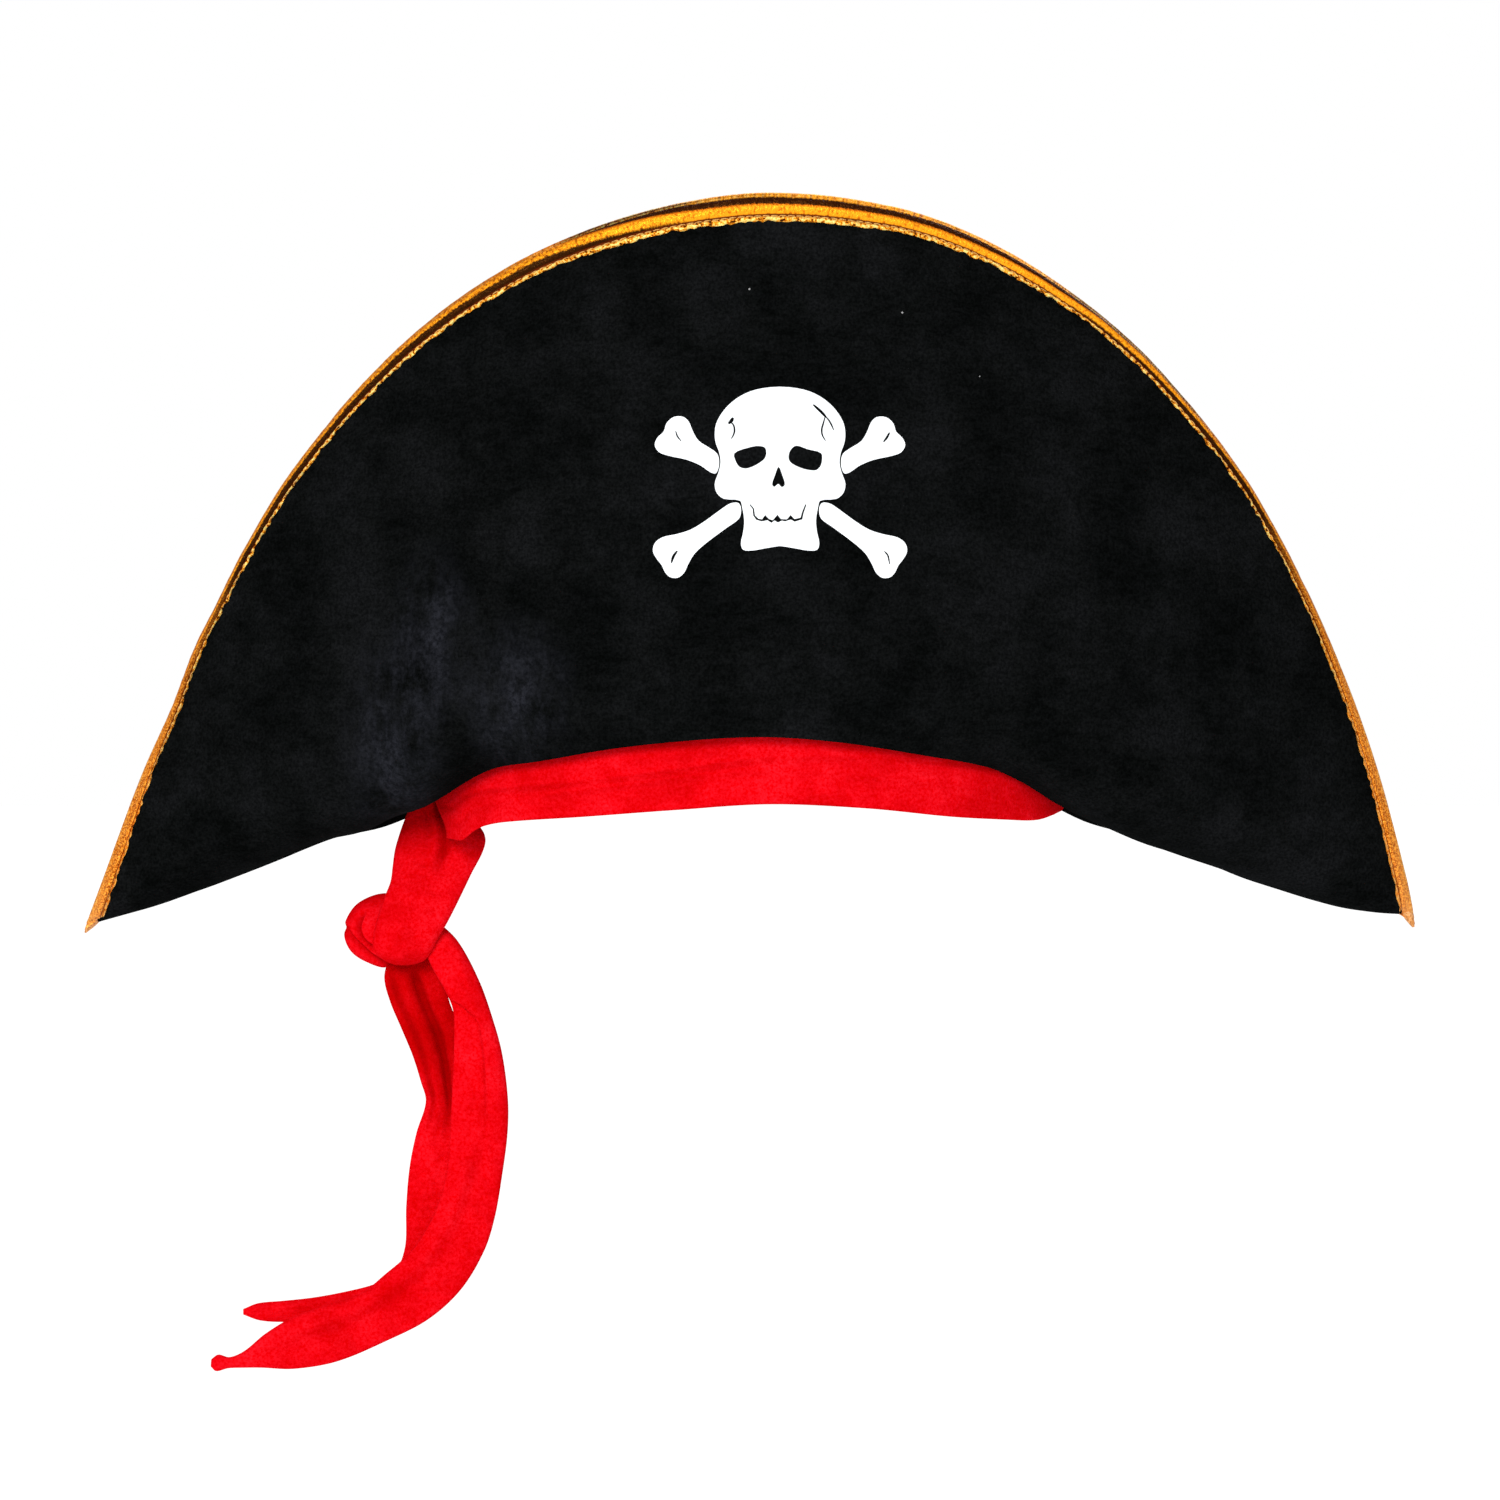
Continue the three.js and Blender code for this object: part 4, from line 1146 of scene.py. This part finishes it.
def foil_mesh(tree):
    """The matt woven mesh that the strip looks like near the tips."""
    weave = noise(tree, object_place(tree), 1700, 1.0, 0.6)
    stops = [(0.38, (0.34, 0.06, 0.003)), (0.5, (0.72, 0.19, 0.010)), (0.62, (0.95, 0.36, 0.04))]
    mesh = ramp(tree, weave, stops)
    return mixed(tree, along_x(tree, 0.0, 4.0, [(0.90, 0.0), (0.93, 0.4)]), mesh, GOLD_PEACH)


def painted_glint_places(tree, half, edge, tip):
    """Where the painted glints go: the strip's flange and its rim, less so near the tips."""
    flange = ramp(tree, edge, [(0.098, 0.9), (0.108, 0)])
    rim = ramp(tree, half, [(0.42, 0), (0.45, 0.9), (0.56, 0.9), (0.61, 0.15)])
    matt = math_node(tree, "SUBTRACT", 1.0, math_node(tree, "MULTIPLY", tip, 0.65))
    return math_node(tree, "MULTIPLY", math_node(tree, "ADD", flange, rim), matt)


def gold_lame():
    """Metal foil cloth with painted reflections: long bright and dark bands, painted shade in fine creases
    across it and in its stitched groove, and painted glints.
    """
    material, tree, shade = shader("gold_lame")
    uv = cloth_uv(tree)
    v = axis_of(tree, uv, "Y")
    wander = noise(tree, stretched(tree, uv, (13, 0.4, 1)), 1.0, 2.0)
    hatch = noise(tree, stretched(tree, uv, (900, 6, 1)), 1.0, 2.0, 0.7)
    glitter = noise(tree, object_place(tree), 800, 1.5, 0.7)
    top = along_x(tree, 0.045, 5.0, [(0.32, 1.0), (0.6, 0.0)])
    tip = along_x(tree, 0.0, 4.0, [(0.72, 0.0), (0.86, 1.0)])
    half = math_node(tree, "MULTIPLY", v, 0.5)
    edge = math_node(tree, "SUBTRACT", half, math_node(tree, "MULTIPLY", tip, 0.045))
    # Painted shade: the stitched groove is dark.
    groove = ramp(tree, edge, [(0.102, 0), (0.11, 1), (0.13, 1), (0.145, 0)])
    golds = zip((0.35, 0.42, 0.48, 0.59), (GOLD_DARK, GOLD_MID, GOLD_BRIGHT, GOLD_PAINTED_GLINT))
    # Painted glints: bright specks in the foil's colours.
    painted_glints = ramp(tree, glitter, list(golds))
    # Painted reflections on the foil's bands, with the matt mesh near the tips.
    base = mixed(tree, tip, painted_reflection_bands(tree, v, top, wander, hatch), foil_mesh(tree))
    base = mixed(tree, groove, base, (0.12, 0.012, 0.001))
    paint(tree, shade, mixed(tree, painted_glint_places(tree, half, edge, tip), base, painted_glints))
    set_inputs(shade, Metallic=0.25, Roughness=0.32)
    set_inputs(shade, Specular_IOR_Level=0.2, Specular_Tint=(1.0, 0.6, 0.15, 1))
    add_bump(tree, shade, [(wander, 0.001), (hatch, 0.0005), (glitter, 0.0002)])
    return material


def gold_thread():
    material, tree, shade = shader("gold_thread")
    twist = noise(tree, object_place(tree), 2500, 2.0)
    paint(tree, shade, ramp(tree, twist, [(0.3, (0.35, 0.12, 0.01)), (0.7, (0.9, 0.5, 0.12))]))
    set_inputs(shade, Roughness=0.5)
    add_bump(tree, shade, [(twist, 0.0001)])
    return material


def gold_reverse():
    """The paler back of the gold strip, seen where it is folded at each tip."""
    material, tree, shade = shader("gold_reverse")
    weave = noise(tree, object_place(tree), 1100, 3.0, 0.7)
    stops = [(0.35, (0.30, 0.09, 0.015)), (0.5, (0.72, 0.28, 0.055)), (0.65, (0.85, 0.46, 0.19))]
    paint(tree, shade, ramp(tree, weave, stops))
    set_inputs(shade, Metallic=0.2, Roughness=0.55)
    add_bump(tree, shade, [(weave, 0.0003)])
    return material


def white_film():
    """Transfer print: smooth white, very slightly dimpled by the pile under it."""
    material, tree, shade = shader("white_film")
    dimples = noise(tree, object_place(tree), 700, 2.0)
    rubs = noise(tree, object_place(tree), 90, 3.0)
    paint(tree, shade, ramp(tree, rubs, [(0.3, (0.88, 0.92, 0.94)), (0.6, (0.95, 0.98, 1.0))]))
    set_inputs(shade, Roughness=0.55, Specular_IOR_Level=0.3)
    add_bump(tree, shade, [(dimples, 0.00008)])
    return material


def stage_white():
    material, tree, shade = shader("stage_white")
    faint = noise(tree, object_place(tree), 2.0)
    paint(tree, shade, ramp(tree, faint, [(0.0, 0.93), (1.0, 0.96)]))
    set_inputs(shade, Roughness=0.9)
    return material


# ---- Stage ----

CAMERA_DISTANCE = 2.4
CAMERA_HEIGHT = 0.023
FRAME_WIDTH = 0.5303
FLOOR_Z = -0.5
FLOOR_REACH = 60


def build_stage():
    """A pale floor with nothing behind it but the white of the studio."""
    reach, z = FLOOR_REACH / MM, FLOOR_Z / MM
    corners = [(-reach, -reach, z), (reach, -reach, z), (reach, reach, z), (-reach, reach, z)]
    new_mesh("floor", corners, [[0, 1, 2, 3]], stage_white())


def add_sun(name, azimuth, elevation, spread, strength):
    """A broad soft light. Azimuth 0 shines from the camera's side and 90 from the hat's left tip."""
    data = bpy.data.lights.new(name, "SUN")
    data.angle = math.radians(spread)
    data.energy = strength
    light = bpy.data.objects.new(name, data)
    bpy.context.scene.collection.objects.link(light)
    light.rotation_euler = (math.radians(90 - elevation), 0, math.radians(-azimuth))


def build_lights():
    """Suns stand in for large soft boxes. What the camera sees behind the hat is plain white."""
    world = bpy.data.worlds.new("studio")
    world.use_nodes = True
    tree = world.node_tree
    background = tree.nodes["Background"]
    background.inputs["Color"].default_value = (1, 1, 1, 1)
    strength = node(tree, "ShaderNodeMix", data_type="FLOAT")
    strength.inputs[2].default_value = 0.38
    strength.inputs[3].default_value = 1.0
    tree.links.new(node(tree, "ShaderNodeLightPath").outputs["Is Camera Ray"], strength.inputs[0])
    tree.links.new(strength.outputs[0], background.inputs["Strength"])
    bpy.context.scene.world = world
    add_sun("key", azimuth=16, elevation=22, spread=28, strength=2.5)
    add_sun("back", azimuth=200, elevation=52, spread=50, strength=2.0)


def build_camera():
    data = bpy.data.cameras.new("camera")
    data.sensor_width = 36
    data.lens = 36 * CAMERA_DISTANCE / FRAME_WIDTH
    camera = bpy.data.objects.new("camera", data)
    bpy.context.scene.collection.objects.link(camera)
    camera.location = (0, -CAMERA_DISTANCE, CAMERA_HEIGHT)
    camera.rotation_euler = (math.pi / 2, 0, 0)
    bpy.context.scene.camera = camera


# ---- The hat ----

def build_hat():
    black, red, cloth = black_velvet(), red_velvet("red_velvet"), lining_cloth()
    lame, thread = gold_lame(), gold_thread()
    build_crown(black)
    cap_top("crown_top_velvet", CROWN_AT, CROWN_T, black, "crown_top", "black_velvet", 35)
    build_lining(cloth)
    cap_top("crown_lining_top", LINING_AT, LINING_T, cloth, "lining_top", "black_lining", 36)
    build_sweatband(cloth)
    wings = {"front": Wing(-1, (0, 0), front_wrinkles), "back": Wing(1, BACK_RISE, back_wrinkles)}
    for place, wing in wings.items():
        build_wing(wing, place, black, cloth)
        build_trim(wing, place, lame)
        build_stitches(wing, place, thread)
    build_headband(red)
    build_knot(red)
    build_sash_tab(red)
    build_drop(red)
    build_tail("front", FRONT_TAIL, front_tail_folds, 71, red)
    # The rear tail's velvet is a shaded copy, with painted shade on its upper part.
    shaded = red_velvet("red_velvet_rear_painted_shade", painted_shade_above=-0.112)
    build_tail("rear", REAR_TAIL, rear_tail_folds, 81, shaded)
    film = white_film()
    for part in ("skull", "bone_upper_left", "bone_upper_right", "bone_lower_left", "bone_lower_right"):
        film_from(f"print_{part}", film, wings["front"])
    build_strokes(wings["front"], black)
    reverse = gold_reverse()
    for name in EARS:
        build_ear(name, reverse)


build_hat()
build_stage()
build_lights()
build_camera()
bpy.context.scene.view_settings.view_transform = "Standard"
